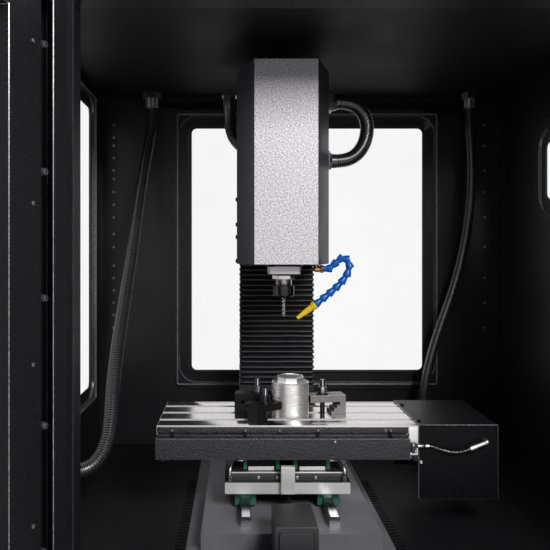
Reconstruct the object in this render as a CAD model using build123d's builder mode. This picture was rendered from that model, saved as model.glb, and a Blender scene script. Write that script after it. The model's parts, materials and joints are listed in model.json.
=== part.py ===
"""Enclosed desktop CNC milling machine, in millimetres. +X right, +Y to the back, +Z up.

The origin is on the floor, under the middle of the machine as it stands with its doors open.
"""
from math import atan2, cos, degrees, hypot, pi, radians, sin, tan

from build123d import *
import os

os.makedirs("parts", exist_ok=True)

# Sheet metal and running gaps
sheet = 2.0
fit = 0.3
running = 0.05

# Heights above the floor
foot_height = 30.0
tray_top = 110.0
base_top = 141.0
guide_height = 28.0
saddle_thickness = 30.0
table_thickness = 45.0
saddle_bottom = base_top + guide_height
saddle_top = saddle_bottom + saddle_thickness
table_bottom = saddle_top + guide_height
table_top = table_bottom + table_thickness
nut_above_table = 191.0
nut_bottom = table_top + nut_above_table
head_room = 607.0
ceiling = table_top + head_room
head_above_table = 245.0
head_height = 323.0
head_bottom = table_top + head_above_table
head_top = head_bottom + head_height

# Enclosure
inner_width = 884.0
room_front = 230.0
room_back = 354.0
frame_depth = 36.0
jamb_width = 105.0
sill_top = 150.0
header_bottom = 850.0
door_angle = 105.0
door_gap = 3.0
door_overlap = 8.0
door_thickness = 28.0
door_stand_off = 2.0
hinge_radius = 5.0
hinge_side = 12.0
leaf_start = 6.0

half_width = inner_width / 2
opening_half = half_width - jamb_width
hinge_x = opening_half + hinge_side
leaf_end = hinge_x - door_gap / 2
half_leaf = door_thickness / 2

# The spindle's place: the doors' tips and the back wall lie as far from the origin
open_angle = radians(door_angle)
hinge_from_spindle = room_front + frame_depth + door_stand_off + half_leaf
tip_from_hinge = leaf_end * sin(open_angle) - half_leaf * cos(open_angle)
spindle_x = -60.0
spindle_y = (hinge_from_spindle + tip_from_hinge - room_back - 2 * sheet) / 2
front_inner = spindle_y - room_front
front_outer = front_inner - frame_depth
back_inner = spindle_y + room_back
back_outer = back_inner + sheet
hinge_y = spindle_y - hinge_from_spindle

# Linear guides, sized as the common 15 mm rail
rail_width = 15.0
rail_height = 15.0
rail_hole = 4.0
rail_pitch = 60.0
carriage_width = 34.0
carriage_height = 24.0
carriage_length = 44.0
cap_length = 6.5
x_rail_offset = 45.0
y_rail_offset = 64.0
z_rail_offset = 45.0
x_carriage_offset = 39.0
y_carriage_offset = 35.0

# Table
table_left = 200.0
table_shown = 200.0
table_right = 222.0
table_half_depth = 75.0
slot_pitch = 42.0
slot_width = 10.0
slot_depth = 9.0
slot_head_width = 18.0
slot_head_height = 8.0
groove_height = 12.0
groove_width = 4.0
end_block = 14.0
guard_gap = 6.5
guard_bottom = 50.0
guard_top = 18.0
guard_right = 186.0

# Table motor cover
cover_right = 322.0
cover_bottom = 160.0

# Screws and motors
screw_radius = 6.0
journal_radius = 4.0
z_screw_radius = 8.0
z_journal_radius = 5.0
motor_size = 57.0
motor_length = 76.0
motor_socket = 20.0
x_screw_height = table_bottom - 15.0
y_screw_height = base_top + 14.0

# Saddle
saddle_half_width = 86.0
saddle_half_depth = 70.0
nut_half_width = 18.0
nut_half_length = 20.0

# Column and way cover
column_half_width = 70.0
column_front = 224.0
column_depth = 110.0
column_wall = 14.0
column_above_table = 490.0
column_floor = 30.0
column_roof = 22.0
column_top = table_top + column_above_table
bellows_front = 184.0
bellows_half_width = 73.0
bellows_bottom = table_top + 5.0
bellows_pleats = 24
bellows_pleat_depth = 7.0
bellows_back = 12.0
bellows_side = 6.0
z_screw_offset = 208.0

# Head
cover_face_half = 50.75
cover_side_half = 77.5
cover_face_front = 55.0
cover_side_front = 21.0
cover_side_back = 172.0
plate_front = 176.0
plate_back = 196.0
cartridge_radius = 30.0
flange_half = 26.0
flange_height = 12.4
spindle_radius = 15.0
hex_across = 33.0
nose_neck_radius = 13.0
nut_radius = 17.0
nut_height = 18.0
tool_radius = 3.0
tool_reach = 32.0

# Workpiece and clamps, measured from the spindle axis
stock_x = 10.0
stock_y = -8.5
stock_radius = 30.0
stock_height = 55.0
stock_tier_radius = 21.0
stock_tier_height = 8.5
strap_width = 26.0
strap_thickness = 11.0
strap_slot = 9.0
stud_radius = 4.0
stud_from_nose = 24.0

# Conduits and hose
left_conduit = 24.0
right_conduit = 20.0
head_conduit = 25.0
hose_pitch = 13.0
hose_skirt_radius = 7.0
hose_neck_radius = 4.6
ball_radius = 5.0


def save(part, name):
    """Writes one finished piece under its name."""
    part.label = name
    export_step(part, f"parts/{name}.step")


def block(x0, x1, y0, y1, z0, z1, mode=Mode.ADD):
    """A box between two corners, for the part that is open."""
    with Locations(((x0 + x1) / 2, (y0 + y1) / 2, (z0 + z1) / 2)):
        Box(x1 - x0, y1 - y0, z1 - z0, mode=mode)


def rod(start, direction, radius, length, mode=Mode.ADD):
    """A round bar or a round hole from a point along a direction, for the part that is open."""
    with Locations(Plane(origin=start, z_dir=direction)):
        Cylinder(radius, length, align=(Align.CENTER, Align.CENTER, Align.MIN), mode=mode)


def at_spindle(x, y, z):
    """A point given from the spindle axis."""
    return (spindle_x + x, spindle_y + y, z)


def spindle_block(x0, x1, y0, y1, z0, z1, mode=Mode.ADD):
    """A box between two corners given from the spindle axis."""
    block(spindle_x + x0, spindle_x + x1, spindle_y + y0, spindle_y + y1, z0, z1, mode)


# Base cabinet: a closed pan whose floor is the chip tray
base_half_width = 150.0
base_front = 150.0
base_back = 340.0
floor_plate = 3.0
drain_offset = base_half_width + 10.0
drain_length = 14.0
drain_width = 5.0
drain_pitch = 10.0
drain_front = 200.0
drain_count = 34
with BuildPart() as base_cabinet:
    block(-half_width - sheet, half_width + sheet, front_outer, back_outer, foot_height, tray_top)
    block(
        -half_width, half_width, front_outer + sheet, back_inner,
        foot_height + floor_plate, tray_top - sheet, Mode.SUBTRACT,
    )
    spindle_block(
        -base_half_width - fit, base_half_width + fit, -base_front - fit, base_back + fit,
        tray_top - sheet, tray_top, Mode.SUBTRACT,
    )
    with BuildSketch(Plane.XY.offset(tray_top)):
        for side in (-1, 1):
            drain_middle = spindle_y - drain_front + drain_pitch * (drain_count - 1) / 2
            with Locations((spindle_x + side * drain_offset, drain_middle)):
                with GridLocations(drain_pitch, drain_pitch, 1, drain_count):
                    Rectangle(drain_length, drain_width)
    extrude(amount=-sheet, mode=Mode.SUBTRACT)
save(base_cabinet.part, "base_cabinet")

foot_radius = 30.0
foot_inset = 60.0
foot_middle = (front_outer + back_outer) / 2
foot_span = back_outer - front_outer - 2 * foot_inset
with BuildPart() as feet:
    with Locations((0, foot_middle, 0)):
        with GridLocations(inner_width - 2 * foot_inset, foot_span, 2, 2):
            Cylinder(foot_radius, foot_height, align=(Align.CENTER, Align.CENTER, Align.MIN))
    chamfer(feet.edges().group_by(Axis.Z)[0], 4)
save(feet.part, "feet")


# Walls with a rounded window, a raised frame round it and a clear pane
bead_gap = 20.0
bead_width = 16.0
bead_height = 5.0
pane_thickness = 4.0
window_corner = 18.0


def window_wall(plane, span, rise, window):
    """A sheet wall seen from inside: window is its width, height and centre on the plane."""
    width, height, u, v = window
    with BuildPart() as wall:
        with BuildSketch(plane):
            Rectangle(span, rise)
            with Locations((u, v)):
                RectangleRounded(width, height, window_corner, mode=Mode.SUBTRACT)
        extrude(amount=-sheet)
        with BuildSketch(plane):
            with Locations((u, v)):
                RectangleRounded(
                    width + 2 * (bead_gap + bead_width), height + 2 * (bead_gap + bead_width),
                    window_corner + bead_gap + bead_width,
                )
                RectangleRounded(
                    width + 2 * bead_gap, height + 2 * bead_gap,
                    window_corner + bead_gap, mode=Mode.SUBTRACT,
                )
        extrude(amount=bead_height)
    return wall.part


def window_pane(plane, window):
    """The clear pane that fills a wall's window."""
    width, height, u, v = window
    with BuildPart() as pane:
        with BuildSketch(plane.offset(-sheet)):
            with Locations((u, v)):
                RectangleRounded(width - 2 * fit, height - 2 * fit, window_corner - fit)
        extrude(amount=pane_thickness)
    return pane.part


wall_rise = ceiling - tray_top
wall_middle = (ceiling + tray_top) / 2
room_depth = room_front + room_back
side_middle = (front_inner + back_inner) / 2
back_window_centre = 541.5
back_window = (524.0, 548.0, spindle_x + 77.0, back_window_centre - wall_middle)
side_window_far = 95.0
side_window_near = 70.0
side_window_width = room_depth - side_window_far - side_window_near
side_window_shift = (side_window_near - side_window_far) / 2
side_window_height = 582.0
side_window_centre = 545.0
side_window_middle = side_window_centre - wall_middle
small_window_shift = (room_back - room_front) / 2 - 38.0
small_window_centre = 687.0
small_window = (200.0, 118.0, small_window_shift, small_window_centre - wall_middle)
back_plane = Plane(origin=(0, back_inner, wall_middle), x_dir=(1, 0, 0), z_dir=(0, -1, 0))
left_plane = Plane(origin=(-half_width, side_middle, wall_middle), x_dir=(0, 1, 0), z_dir=(1, 0, 0))
right_plane = Plane(origin=(half_width, side_middle, wall_middle), x_dir=(0, -1, 0), z_dir=(-1, 0, 0))
left_window = (side_window_width, side_window_height, side_window_shift, side_window_middle)

save(window_wall(back_plane, inner_width + 2 * sheet, wall_rise, back_window), "back_wall")
save(window_wall(left_plane, room_depth, wall_rise, left_window), "left_wall")
save(window_wall(right_plane, room_depth, wall_rise, small_window), "right_wall")
save(window_pane(back_plane, back_window), "back_window")
save(window_pane(left_plane, left_window), "left_window")
save(window_pane(right_plane, small_window), "right_window")

# Roof: a tray of sheet whose edge folds down over the walls
roof_lip = 18.0
with BuildPart() as roof:
    block(
        -half_width - 2 * sheet, half_width + 2 * sheet, front_outer, back_outer + sheet,
        ceiling - roof_lip, ceiling + sheet,
    )
    block(
        -half_width - sheet, half_width + sheet, front_outer, back_outer,
        ceiling - roof_lip, ceiling, Mode.SUBTRACT,
    )
save(roof.part, "roof")

# Front frame: a folded sheet frame round the door opening, with the fixed hinge knuckles
return_inset = 2.0
hinge_heights = (220.0, 500.0, 780.0)
hinge_half = 30.0
pin_radius = 3.0
lug_half = 4.0
with BuildPart() as front_frame:
    block(-half_width - sheet, half_width + sheet, front_outer, front_inner, tray_top, ceiling)
    block(
        -half_width, half_width, front_outer + sheet, front_inner,
        tray_top + sheet, ceiling - sheet, Mode.SUBTRACT,
    )
    block(
        -opening_half - sheet, opening_half + sheet, front_outer, front_inner,
        sill_top - sheet, header_bottom + sheet,
    )
    block(
        -opening_half, opening_half, front_outer, front_inner, sill_top, header_bottom,
        Mode.SUBTRACT,
    )
    for side in (-1, 1):
        for height in hinge_heights:
            knuckle = (side * hinge_x, hinge_y, height - hinge_half)
            rod(knuckle, (0, 0, 1), hinge_radius, hinge_half - 1)
            rod(knuckle, (0, 0, 1), pin_radius, 2 * hinge_half)
            block(
                side * hinge_x - lug_half, side * hinge_x + lug_half, hinge_y + pin_radius,
                front_outer, height - hinge_half, height - 1,
            )
save(front_frame.part, "front_frame")

# Doors: folded hollow leaves with a channel round the inner face. The left one is built open
leaf_bottom = sill_top - door_overlap
leaf_top = header_bottom + door_overlap
hinge_stile = 112.0
free_stile = 60.0
leaf_rail = 68.0
channel_outer = 30.0
channel_inner = 58.0
rail_channel_outer = 30.0
rail_channel_inner = 24.0
free_channel_outer = 20.0
free_channel_inner = 22.0
leaf_window_start = leaf_start + hinge_stile
leaf_window_end = leaf_end - free_stile
leaf_window_bottom = leaf_bottom + leaf_rail
leaf_window_top = leaf_top - leaf_rail
open_leaf = Plane(
    origin=(-hinge_x, hinge_y, 0), x_dir=(cos(open_angle), -sin(open_angle), 0), z_dir=(0, 0, 1)
)


def leaf_block(u0, u1, v0, v1, z0, z1, mode=Mode.ADD):
    """A box on the open leaf: u runs from the hinge axis along it, v towards its inner face."""
    middle = ((u0 + u1) / 2, (v0 + v1) / 2, (z0 + z1) / 2)
    with Locations(open_leaf * Location(middle)):
        Box(u1 - u0, v1 - v0, z1 - z0, mode=mode)


def leaf_window(inset, v0, v1, mode=Mode.ADD):
    """A box over the leaf's window, smaller by inset on each side."""
    leaf_block(
        leaf_window_start + inset, leaf_window_end - inset, v0, v1,
        leaf_window_bottom + inset, leaf_window_top - inset, mode,
    )


with BuildPart() as leaf_cavity:
    leaf_block(
        leaf_start + sheet, leaf_end - sheet, sheet - half_leaf, half_leaf - sheet,
        leaf_bottom + sheet, leaf_top - sheet,
    )
    leaf_window(-sheet, -half_leaf, half_leaf, Mode.SUBTRACT)
with BuildPart() as leaf_channel:
    leaf_block(
        leaf_start + channel_outer, leaf_end - free_channel_outer, 0, half_leaf,
        leaf_bottom + rail_channel_outer, leaf_top - rail_channel_outer,
    )
    leaf_block(
        leaf_window_start - channel_inner, leaf_window_end + free_channel_inner, 0, half_leaf,
        leaf_window_bottom - rail_channel_inner, leaf_window_top + rail_channel_inner, Mode.SUBTRACT,
    )
with BuildPart() as left_door:
    leaf_block(leaf_start, leaf_end, -half_leaf, half_leaf, leaf_bottom, leaf_top)
    add(leaf_cavity.part, mode=Mode.SUBTRACT)
    add(leaf_channel.part, mode=Mode.SUBTRACT)
    leaf_window(0, -half_leaf, half_leaf, Mode.SUBTRACT)
    for height in hinge_heights:
        with Locations((-hinge_x, hinge_y, height + hinge_half / 2 + 0.5)):
            Cylinder(hinge_radius, hinge_half - 1)
        leaf_block(0, leaf_start, -lug_half, lug_half, height + 1, height + hinge_half)
        with Locations((-hinge_x, hinge_y, height + hinge_half / 2)):
            Cylinder(pin_radius + running, 2 * hinge_half, mode=Mode.SUBTRACT)
save(left_door.part, "left_door")
with BuildPart() as right_door:
    add(left_door.part.mirror(Plane.YZ))
save(right_door.part, "right_door")

door_pane_back = 12.0
door_pane_thickness = 5.0
with BuildPart() as left_door_window:
    leaf_window(fit, -door_pane_back, door_pane_thickness - door_pane_back)
save(left_door_window.part, "left_door_window")
with BuildPart() as right_door_window:
    add(left_door_window.part.mirror(Plane.YZ))
save(right_door_window.part, "right_door_window")

handle_from_edge = 29.5
handle_u = leaf_end - handle_from_edge
handle_reach = 34.0
handle_radius = 7.0
handle_bottom = 420.0
handle_length = 160.0
post_inset = 20.0
with BuildPart() as left_door_handle:
    with Locations(open_leaf * Location((handle_u, -half_leaf - handle_reach, handle_bottom))):
        Cylinder(handle_radius, handle_length, align=(Align.CENTER, Align.CENTER, Align.MIN))
    fillet(left_door_handle.edges().filter_by(GeomType.CIRCLE), 3)
    for height in (handle_bottom + post_inset, handle_bottom + handle_length - post_inset):
        leaf_block(
            handle_u - 5, handle_u + 5, -half_leaf - handle_reach, -half_leaf, height - 5, height + 5
        )
save(left_door_handle.part, "left_door_handle")
with BuildPart() as right_door_handle:
    add(left_door_handle.part.mirror(Plane.YZ))
save(right_door_handle.part, "right_door_handle")

# Machine base: footing in the tray, ways above it, screw bearings at both ends
ways_half_width = 128.0
footing_top = tray_top + 4
y_bearing_half = 22.0
y_bearing_top = saddle_bottom - 0.5
y_bearing_depth = 15.0
y_bearing_back = 110.0
y_rail_front = 130.0
y_rail_back = 125.0
base_wall = 16.0
with BuildPart() as machine_base:
    spindle_block(
        -base_half_width, base_half_width, -base_front, base_back,
        foot_height + floor_plate, footing_top,
    )
    spindle_block(-ways_half_width, ways_half_width, -base_front, base_back, footing_top, base_top)
    spindle_block(
        base_wall - ways_half_width, ways_half_width - base_wall, base_wall - base_front,
        base_back - base_wall, foot_height + floor_plate, base_top - base_wall, Mode.SUBTRACT,
    )
    for y in (-base_front, y_bearing_back - y_bearing_depth):
        spindle_block(
            -y_bearing_half, y_bearing_half, y, y + y_bearing_depth, base_top, y_bearing_top
        )
    rod(
        at_spindle(0, -base_front, y_screw_height), (0, 1, 0), journal_radius + running,
        base_front + y_bearing_back, Mode.SUBTRACT,
    )
save(machine_base.part, "machine_base")

# Rails of the three axes, each a pair with a row of bolt holes
rail_hole_depth = 9.0
rail_chamfer = 1.5


def rail_pair(plane, offset, length):
    """Two rails either side of a plane's x axis, standing on it, with their bolt holes."""
    holes = int((length - 20) // rail_pitch) + 1
    with BuildPart() as rails:
        with BuildSketch(plane):
            with GridLocations(1, 2 * offset, 1, 2):
                Rectangle(length, rail_width)
        extrude(amount=rail_height)
        along = rails.edges().filter_by(Axis(plane.origin, plane.x_dir))
        chamfer(along.group_by(Axis(plane.origin, plane.z_dir))[-1], rail_chamfer)
        with BuildSketch(plane.offset(rail_height)):
            with GridLocations(rail_pitch, 2 * offset, holes, 2):
                Circle(rail_hole)
        extrude(amount=-rail_hole_depth, mode=Mode.SUBTRACT)
    return rails.part


y_rail_middle = (y_rail_back - y_rail_front) / 2
y_rail_plane = Plane(origin=at_spindle(0, y_rail_middle, base_top), x_dir=(0, 1, 0), z_dir=(0, 0, 1))
save(rail_pair(y_rail_plane, y_rail_offset, y_rail_front + y_rail_back), "y_rails")
x_rail_plane = Plane(origin=at_spindle(0, 0, table_bottom), x_dir=(1, 0, 0), z_dir=(0, 0, -1))
x_rail_inset = 2.0
save(rail_pair(x_rail_plane, x_rail_offset, 2 * (table_left - x_rail_inset)), "x_rails")
z_rail_bottom = 330.0
z_rail_top = 745.0
z_rail_plane = Plane(
    origin=at_spindle(0, column_front, (z_rail_bottom + z_rail_top) / 2),
    x_dir=(0, 0, 1), z_dir=(0, -1, 0),
)
save(rail_pair(z_rail_plane, z_rail_offset, z_rail_top - z_rail_bottom), "z_rails")


def carriage(plane, length=carriage_length, height=carriage_height, width=carriage_width):
    """A guide block over its rail: the plane lies on the rail's foot, x along the rail."""
    clear = guide_height - height
    with BuildPart() as carriage_block:
        with BuildSketch(plane.offset(clear)):
            Rectangle(length, width)
        extrude(amount=height)
        with BuildSketch(plane):
            Rectangle(length, rail_width + 2 * fit)
        extrude(amount=rail_height + fit, mode=Mode.SUBTRACT)
    return carriage_block.part


def carriage_caps_for(plane):
    """The two end caps of a guide block, a little lower than the block."""
    with BuildPart() as caps:
        with BuildSketch(plane.offset(guide_height - carriage_height + 0.5)):
            with GridLocations(carriage_length + cap_length, 1, 2, 1):
                Rectangle(cap_length, carriage_width - 1)
        extrude(amount=carriage_height - 1.5)
        with BuildSketch(plane):
            Rectangle(carriage_length + 3 * cap_length, rail_width + 2 * fit)
        extrude(amount=rail_height + fit, mode=Mode.SUBTRACT)
    return caps.part


x_carriage_planes = [
    Plane(
        origin=at_spindle(i * x_carriage_offset, j * x_rail_offset, table_bottom),
        x_dir=(1, 0, 0), z_dir=(0, 0, -1),
    )
    for i in (-1, 1) for j in (-1, 1)
]
y_carriage_planes = [
    Plane(
        origin=at_spindle(i * y_rail_offset, j * y_carriage_offset, base_top),
        x_dir=(0, 1, 0), z_dir=(0, 0, 1),
    )
    for i in (-1, 1) for j in (-1, 1)
]
with BuildPart() as linear_carriages:
    for place in x_carriage_planes + y_carriage_planes:
        add(carriage(place))
save(linear_carriages.part, "linear_carriages")
with BuildPart() as carriage_caps:
    for place in x_carriage_planes + y_carriage_planes:
        add(carriage_caps_for(place))
save(carriage_caps.part, "carriage_caps")

# Saddle: a casting with a step round it, a nut housing above and one below
saddle_step = 10.0
saddle_step_top = 12.0
front_block_half = 10.5
front_block_depth = 9.0
x_nut_half_length = 14.0
nut_clearance = 2.0
with BuildPart() as saddle:
    spindle_block(
        -saddle_half_width - saddle_step, saddle_half_width + saddle_step,
        -saddle_half_depth - saddle_step, saddle_half_depth, saddle_bottom,
        saddle_top - saddle_step_top,
    )
    spindle_block(
        -saddle_half_width, saddle_half_width, -saddle_half_depth, saddle_half_depth,
        saddle_bottom, saddle_top,
    )
    spindle_block(
        -nut_half_width, nut_half_width, -x_nut_half_length, x_nut_half_length, saddle_top,
        table_bottom - nut_clearance,
    )
    spindle_block(
        -nut_half_width, nut_half_width, -nut_half_length, nut_half_length,
        base_top + nut_clearance,
        saddle_bottom,
    )
    spindle_block(
        -front_block_half, front_block_half, -saddle_half_depth - saddle_step - front_block_depth,
        -saddle_half_depth - saddle_step, saddle_bottom + 3, saddle_top + 14,
    )
    rod(
        at_spindle(-nut_half_width, 0, x_screw_height), (1, 0, 0), screw_radius + running,
        2 * nut_half_width, Mode.SUBTRACT,
    )
    rod(
        at_spindle(0, -nut_half_length, y_screw_height), (0, 1, 0), screw_radius + running,
        2 * nut_half_length, Mode.SUBTRACT,
    )
save(saddle.part, "saddle")

# Table: T-slots, trip groove on the front, screw bearings below both ends
x_bearing_bottom = x_screw_height - 11.5
x_bearing_half = 25.0
table_ends = ((-table_left, -table_left + end_block), (table_right - end_block, table_right))
slot_length = table_left + table_right
slot_middle = (table_right - table_left) / 2
with BuildPart() as table:
    spindle_block(
        -table_left, table_right, -table_half_depth, table_half_depth, table_bottom, table_top
    )
    chamfer(table.edges().group_by(Axis.Z)[-1], 0.8)
    spindle_block(
        table_shown, table_right, -table_half_depth, table_half_depth, table_top - fit, table_top,
        Mode.SUBTRACT,
    )
    for row in (-1, 0, 1):
        with Locations(at_spindle(slot_middle, row * slot_pitch, table_top)):
            Box(slot_length, slot_width, 2 * slot_depth, mode=Mode.SUBTRACT)
        slot_head_middle = table_top - slot_depth - slot_head_height / 2
        with Locations(at_spindle(slot_middle, row * slot_pitch, slot_head_middle)):
            Box(slot_length, slot_head_width, slot_head_height, mode=Mode.SUBTRACT)
    spindle_block(
        -table_left, table_right, -table_half_depth, groove_width - table_half_depth,
        table_top - groove_height - groove_width, table_top - groove_height, Mode.SUBTRACT,
    )
    for x0, x1 in table_ends:
        spindle_block(x0, x1, -x_bearing_half, x_bearing_half, x_bearing_bottom, table_bottom)
    rod(
        at_spindle(-table_left, 0, x_screw_height), (1, 0, 0), journal_radius + running,
        slot_length, Mode.SUBTRACT,
    )
save(table.part, "table")

# Front guard of the table: a folded strip that hangs from the table's front face
guard_sheet = 1.5
guard_front = table_half_depth + guard_gap + guard_sheet
with BuildPart() as table_guard:
    spindle_block(
        -table_left - 1, guard_right, -guard_front, guard_sheet - guard_front,
        table_top - guard_bottom, table_top - guard_top,
    )
    spindle_block(
        -table_left - 1, guard_right, -guard_front, -table_half_depth,
        table_top - guard_top - guard_sheet, table_top - guard_top,
    )
save(table_guard.part, "table_guard")

dog_half = 3.0
dog_depth = 3.5
dog_places = (-176.0, -65.0, 46.0, 157.0)
with BuildPart() as trip_dogs:
    for x in dog_places:
        spindle_block(
            x - dog_half, x + dog_half, -table_half_depth - dog_depth, -table_half_depth,
            table_top - groove_height - 5.5, table_top - groove_height + 3,
        )
        spindle_block(
            x - dog_half, x + dog_half, -table_half_depth, groove_width - 1 - table_half_depth,
            table_top - groove_height - groove_width + fit, table_top - groove_height - fit,
        )
        rod(
            at_spindle(x, -table_half_depth - dog_depth, table_top - groove_height), (0, -1, 0),
            2.2, 2,
        )
save(trip_dogs.part, "trip_dogs")

# Limit switch: a small bracket on the table's front face that holds a round sensor
switch_height = table_top - 29.4
switch_stand_off = 6.0
switch_depth = 9.0
switch_y = table_half_depth + switch_stand_off
switch_left = 187.5
switch_right = 195.0
switch_radius = 3.0
switch_length = 21.0
with BuildPart() as limit_switch:
    spindle_block(
        switch_left, switch_right, -table_half_depth - switch_depth, -table_half_depth,
        switch_height - 10, switch_height + 5,
    )
    rod(
        at_spindle(switch_left + 1.5, -switch_y, switch_height), (1, 0, 0), switch_radius,
        switch_length,
    )
save(limit_switch.part, "limit_switch")

# Table motor cover: an open-bottomed box that laps over the table's end
cover_half = table_half_depth + sheet + fit
with BuildPart() as x_motor_cover:
    spindle_block(
        table_shown, cover_right, -cover_half, cover_half, cover_bottom, table_top + sheet
    )
    spindle_block(
        table_shown, cover_right - sheet, sheet - cover_half, cover_half - sheet, cover_bottom,
        table_top, Mode.SUBTRACT,
    )
save(x_motor_cover.part, "x_motor_cover")


# Axis motors: a square body with a round boss and a socket for the screw's end
def axis_motor(plane):
    """A motor whose flange lies on the plane and whose body runs along its z axis."""
    with BuildPart() as motor:
        with BuildSketch(plane):
            RectangleRounded(motor_size, motor_size, 4)
        extrude(amount=motor_length)
        with BuildSketch(plane.offset(motor_length)):
            RectangleRounded(motor_size - 12, motor_size - 12, 4)
        extrude(amount=3)
        with BuildSketch(plane):
            Circle(journal_radius + running)
        extrude(amount=motor_socket + 1, mode=Mode.SUBTRACT)
    return motor.part


save(
    axis_motor(Plane(origin=at_spindle(table_right, 0, x_screw_height), z_dir=(1, 0, 0))),
    "x_motor",
)
save(
    axis_motor(Plane(origin=at_spindle(0, -base_front, y_screw_height), z_dir=(0, -1, 0))),
    "y_motor",
)


# Ball screws: a threaded length between two plain journals, one of them in the motor
def ball_screw(plane, first, threaded, last, radius, end_radius):
    """A screw along the plane's z axis: journal, threaded length, journal."""
    with BuildPart() as screw:
        with BuildSketch(plane):
            Circle(end_radius)
        extrude(amount=first + threaded + last)
        with BuildSketch(plane.offset(first)):
            Circle(radius)
        extrude(amount=threaded)
        rims = screw.edges().filter_by(GeomType.CIRCLE)
        chamfer(rims.filter_by(lambda rim: abs(rim.radius - radius) < running), 0.5)
    return screw.part


x_threaded = slot_length - 2 * end_block - 2 * fit
save(
    ball_screw(
        Plane(origin=at_spindle(-table_left, 0, x_screw_height), z_dir=(1, 0, 0)),
        end_block + fit, x_threaded, end_block + fit + motor_socket, screw_radius, journal_radius,
    ),
    "x_screw",
)
y_threaded = base_front + y_bearing_back - 2 * y_bearing_depth - 2 * fit
save(
    ball_screw(
        Plane(origin=at_spindle(0, y_bearing_back, y_screw_height), z_dir=(0, -1, 0)),
        y_bearing_depth + fit, y_threaded, y_bearing_depth + fit + motor_socket, screw_radius,
        journal_radius,
    ),
    "y_screw",
)

# Workpiece: a turned blank with a smaller faceted tier on top
with BuildPart() as workpiece:
    with BuildSketch(Plane(origin=at_spindle(stock_x, stock_y, table_top), z_dir=(0, 0, 1))):
        Circle(stock_radius)
    extrude(amount=stock_height)
    chamfer(workpiece.edges().group_by(Axis.Z)[-1], 2)
    with BuildSketch(
        Plane(origin=at_spindle(stock_x, stock_y, table_top + stock_height), z_dir=(0, 0, 1))
    ):
        RegularPolygon(stock_tier_radius, 8)
    extrude(amount=stock_tier_height)
    chamfer(workpiece.faces().sort_by(Axis.Z)[-1].edges(), 2)
save(workpiece.part, "workpiece")

# Strap clamps round the workpiece: angle about it, strap's height above the table, its reach.
# Each strap's heel stands against a stepped block that rises outwards to the strap's top
clamps = ((9.0, 20.0, 60.0), (171.0, 22.0, 60.0), (218.3, 15.5, 50.0))
heel = 10.0
step_run = 5.0
step_count = 4
nut_flange = 2.5
stud_above = 24.0
clamp_nut_height = 10.0


def clamp_plane(angle):
    """A plane on the table whose x axis points away from the workpiece, from its surface."""
    turn = radians(angle)
    return Plane(
        origin=at_spindle(
            stock_x + (stock_radius + fit) * cos(turn), stock_y + (stock_radius + fit) * sin(turn),
            table_top,
        ),
        x_dir=(cos(turn), sin(turn), 0), z_dir=(0, 0, 1),
    )


with BuildPart() as step_clamps:
    for angle, height, length in clamps:
        with BuildSketch(clamp_plane(angle).offset(height)):
            with Locations((length / 2, 0)):
                Rectangle(length, strap_width)
            with Locations((stud_from_nose, 0)):
                SlotOverall(strap_slot * 2.5, strap_slot, mode=Mode.SUBTRACT)
        extrude(amount=strap_thickness)
        with BuildSketch(clamp_plane(angle)):
            with Locations((length - heel / 2, 0)):
                Rectangle(heel, strap_width)
        extrude(amount=height)
        free_steps = int((length - heel - stud_from_nose - stud_radius - fit) // step_run)
        for step in range(min(step_count - 1, free_steps)):
            with BuildSketch(clamp_plane(angle)):
                with Locations((length - heel - (step + 0.5) * step_run, 0)):
                    Rectangle(step_run, strap_width)
            extrude(amount=height * (step_count - step - 1) / step_count)
save(step_clamps.part, "step_clamps")

with BuildPart() as clamp_studs:
    for angle, height, length in clamps:
        seat = height + strap_thickness
        with BuildSketch(clamp_plane(angle).offset(-slot_depth)):
            with Locations((stud_from_nose, 0)):
                Circle(stud_radius)
        extrude(amount=slot_depth + seat + stud_above)
        with BuildSketch(clamp_plane(angle).offset(seat)):
            with Locations((stud_from_nose, 0)):
                Circle(9)
        extrude(amount=nut_flange)
        with BuildSketch(clamp_plane(angle).offset(seat + nut_flange)):
            with Locations((stud_from_nose, 0)):
                RegularPolygon(6.5, 6, major_radius=False)
        extrude(amount=clamp_nut_height)
        stud = clamp_plane(angle).from_local_coords(Vector(stud_from_nose, 0, -slot_depth - fit))
        with BuildSketch(Plane.XY.offset(stud.Z)):
            with Locations((stud.X, stud.Y)):
                Rectangle(22, slot_head_width - 2)
        extrude(amount=1 - slot_head_height)
save(clamp_studs.part, "clamp_studs")

# Column: hollow casting open at the back, with a ledge for the way cover and two screw bearings
ledge_height = 12.0
z_bearing_bottom = 300.0
z_bearing_height = 20.0
z_bearing_front = 198.0
z_bearing_half = 22.0
top_bracket_height = 14.0
top_bracket_front = 180.0
top_bracket_half = 30.0
with BuildPart() as column:
    spindle_block(
        -column_half_width, column_half_width, column_front, column_front + column_depth,
        base_top, column_top,
    )
    spindle_block(
        column_wall - column_half_width, column_half_width - column_wall,
        column_front + column_wall, column_front + column_depth, base_top + column_floor,
        column_top - column_roof,
        Mode.SUBTRACT,
    )
    spindle_block(
        -bellows_half_width, bellows_half_width, bellows_front, column_front,
        bellows_bottom - ledge_height, bellows_bottom,
    )
    spindle_block(
        -z_bearing_half, z_bearing_half, z_bearing_front, column_front, z_bearing_bottom,
        z_bearing_bottom + z_bearing_height,
    )
    spindle_block(
        -top_bracket_half, top_bracket_half, top_bracket_front, column_front,
        column_top - top_bracket_height, column_top,
    )
    rod(
        at_spindle(0, z_screw_offset, z_bearing_bottom), (0, 0, 1), journal_radius + running,
        column_top - z_bearing_bottom, Mode.SUBTRACT,
    )
save(column.part, "column")

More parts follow.
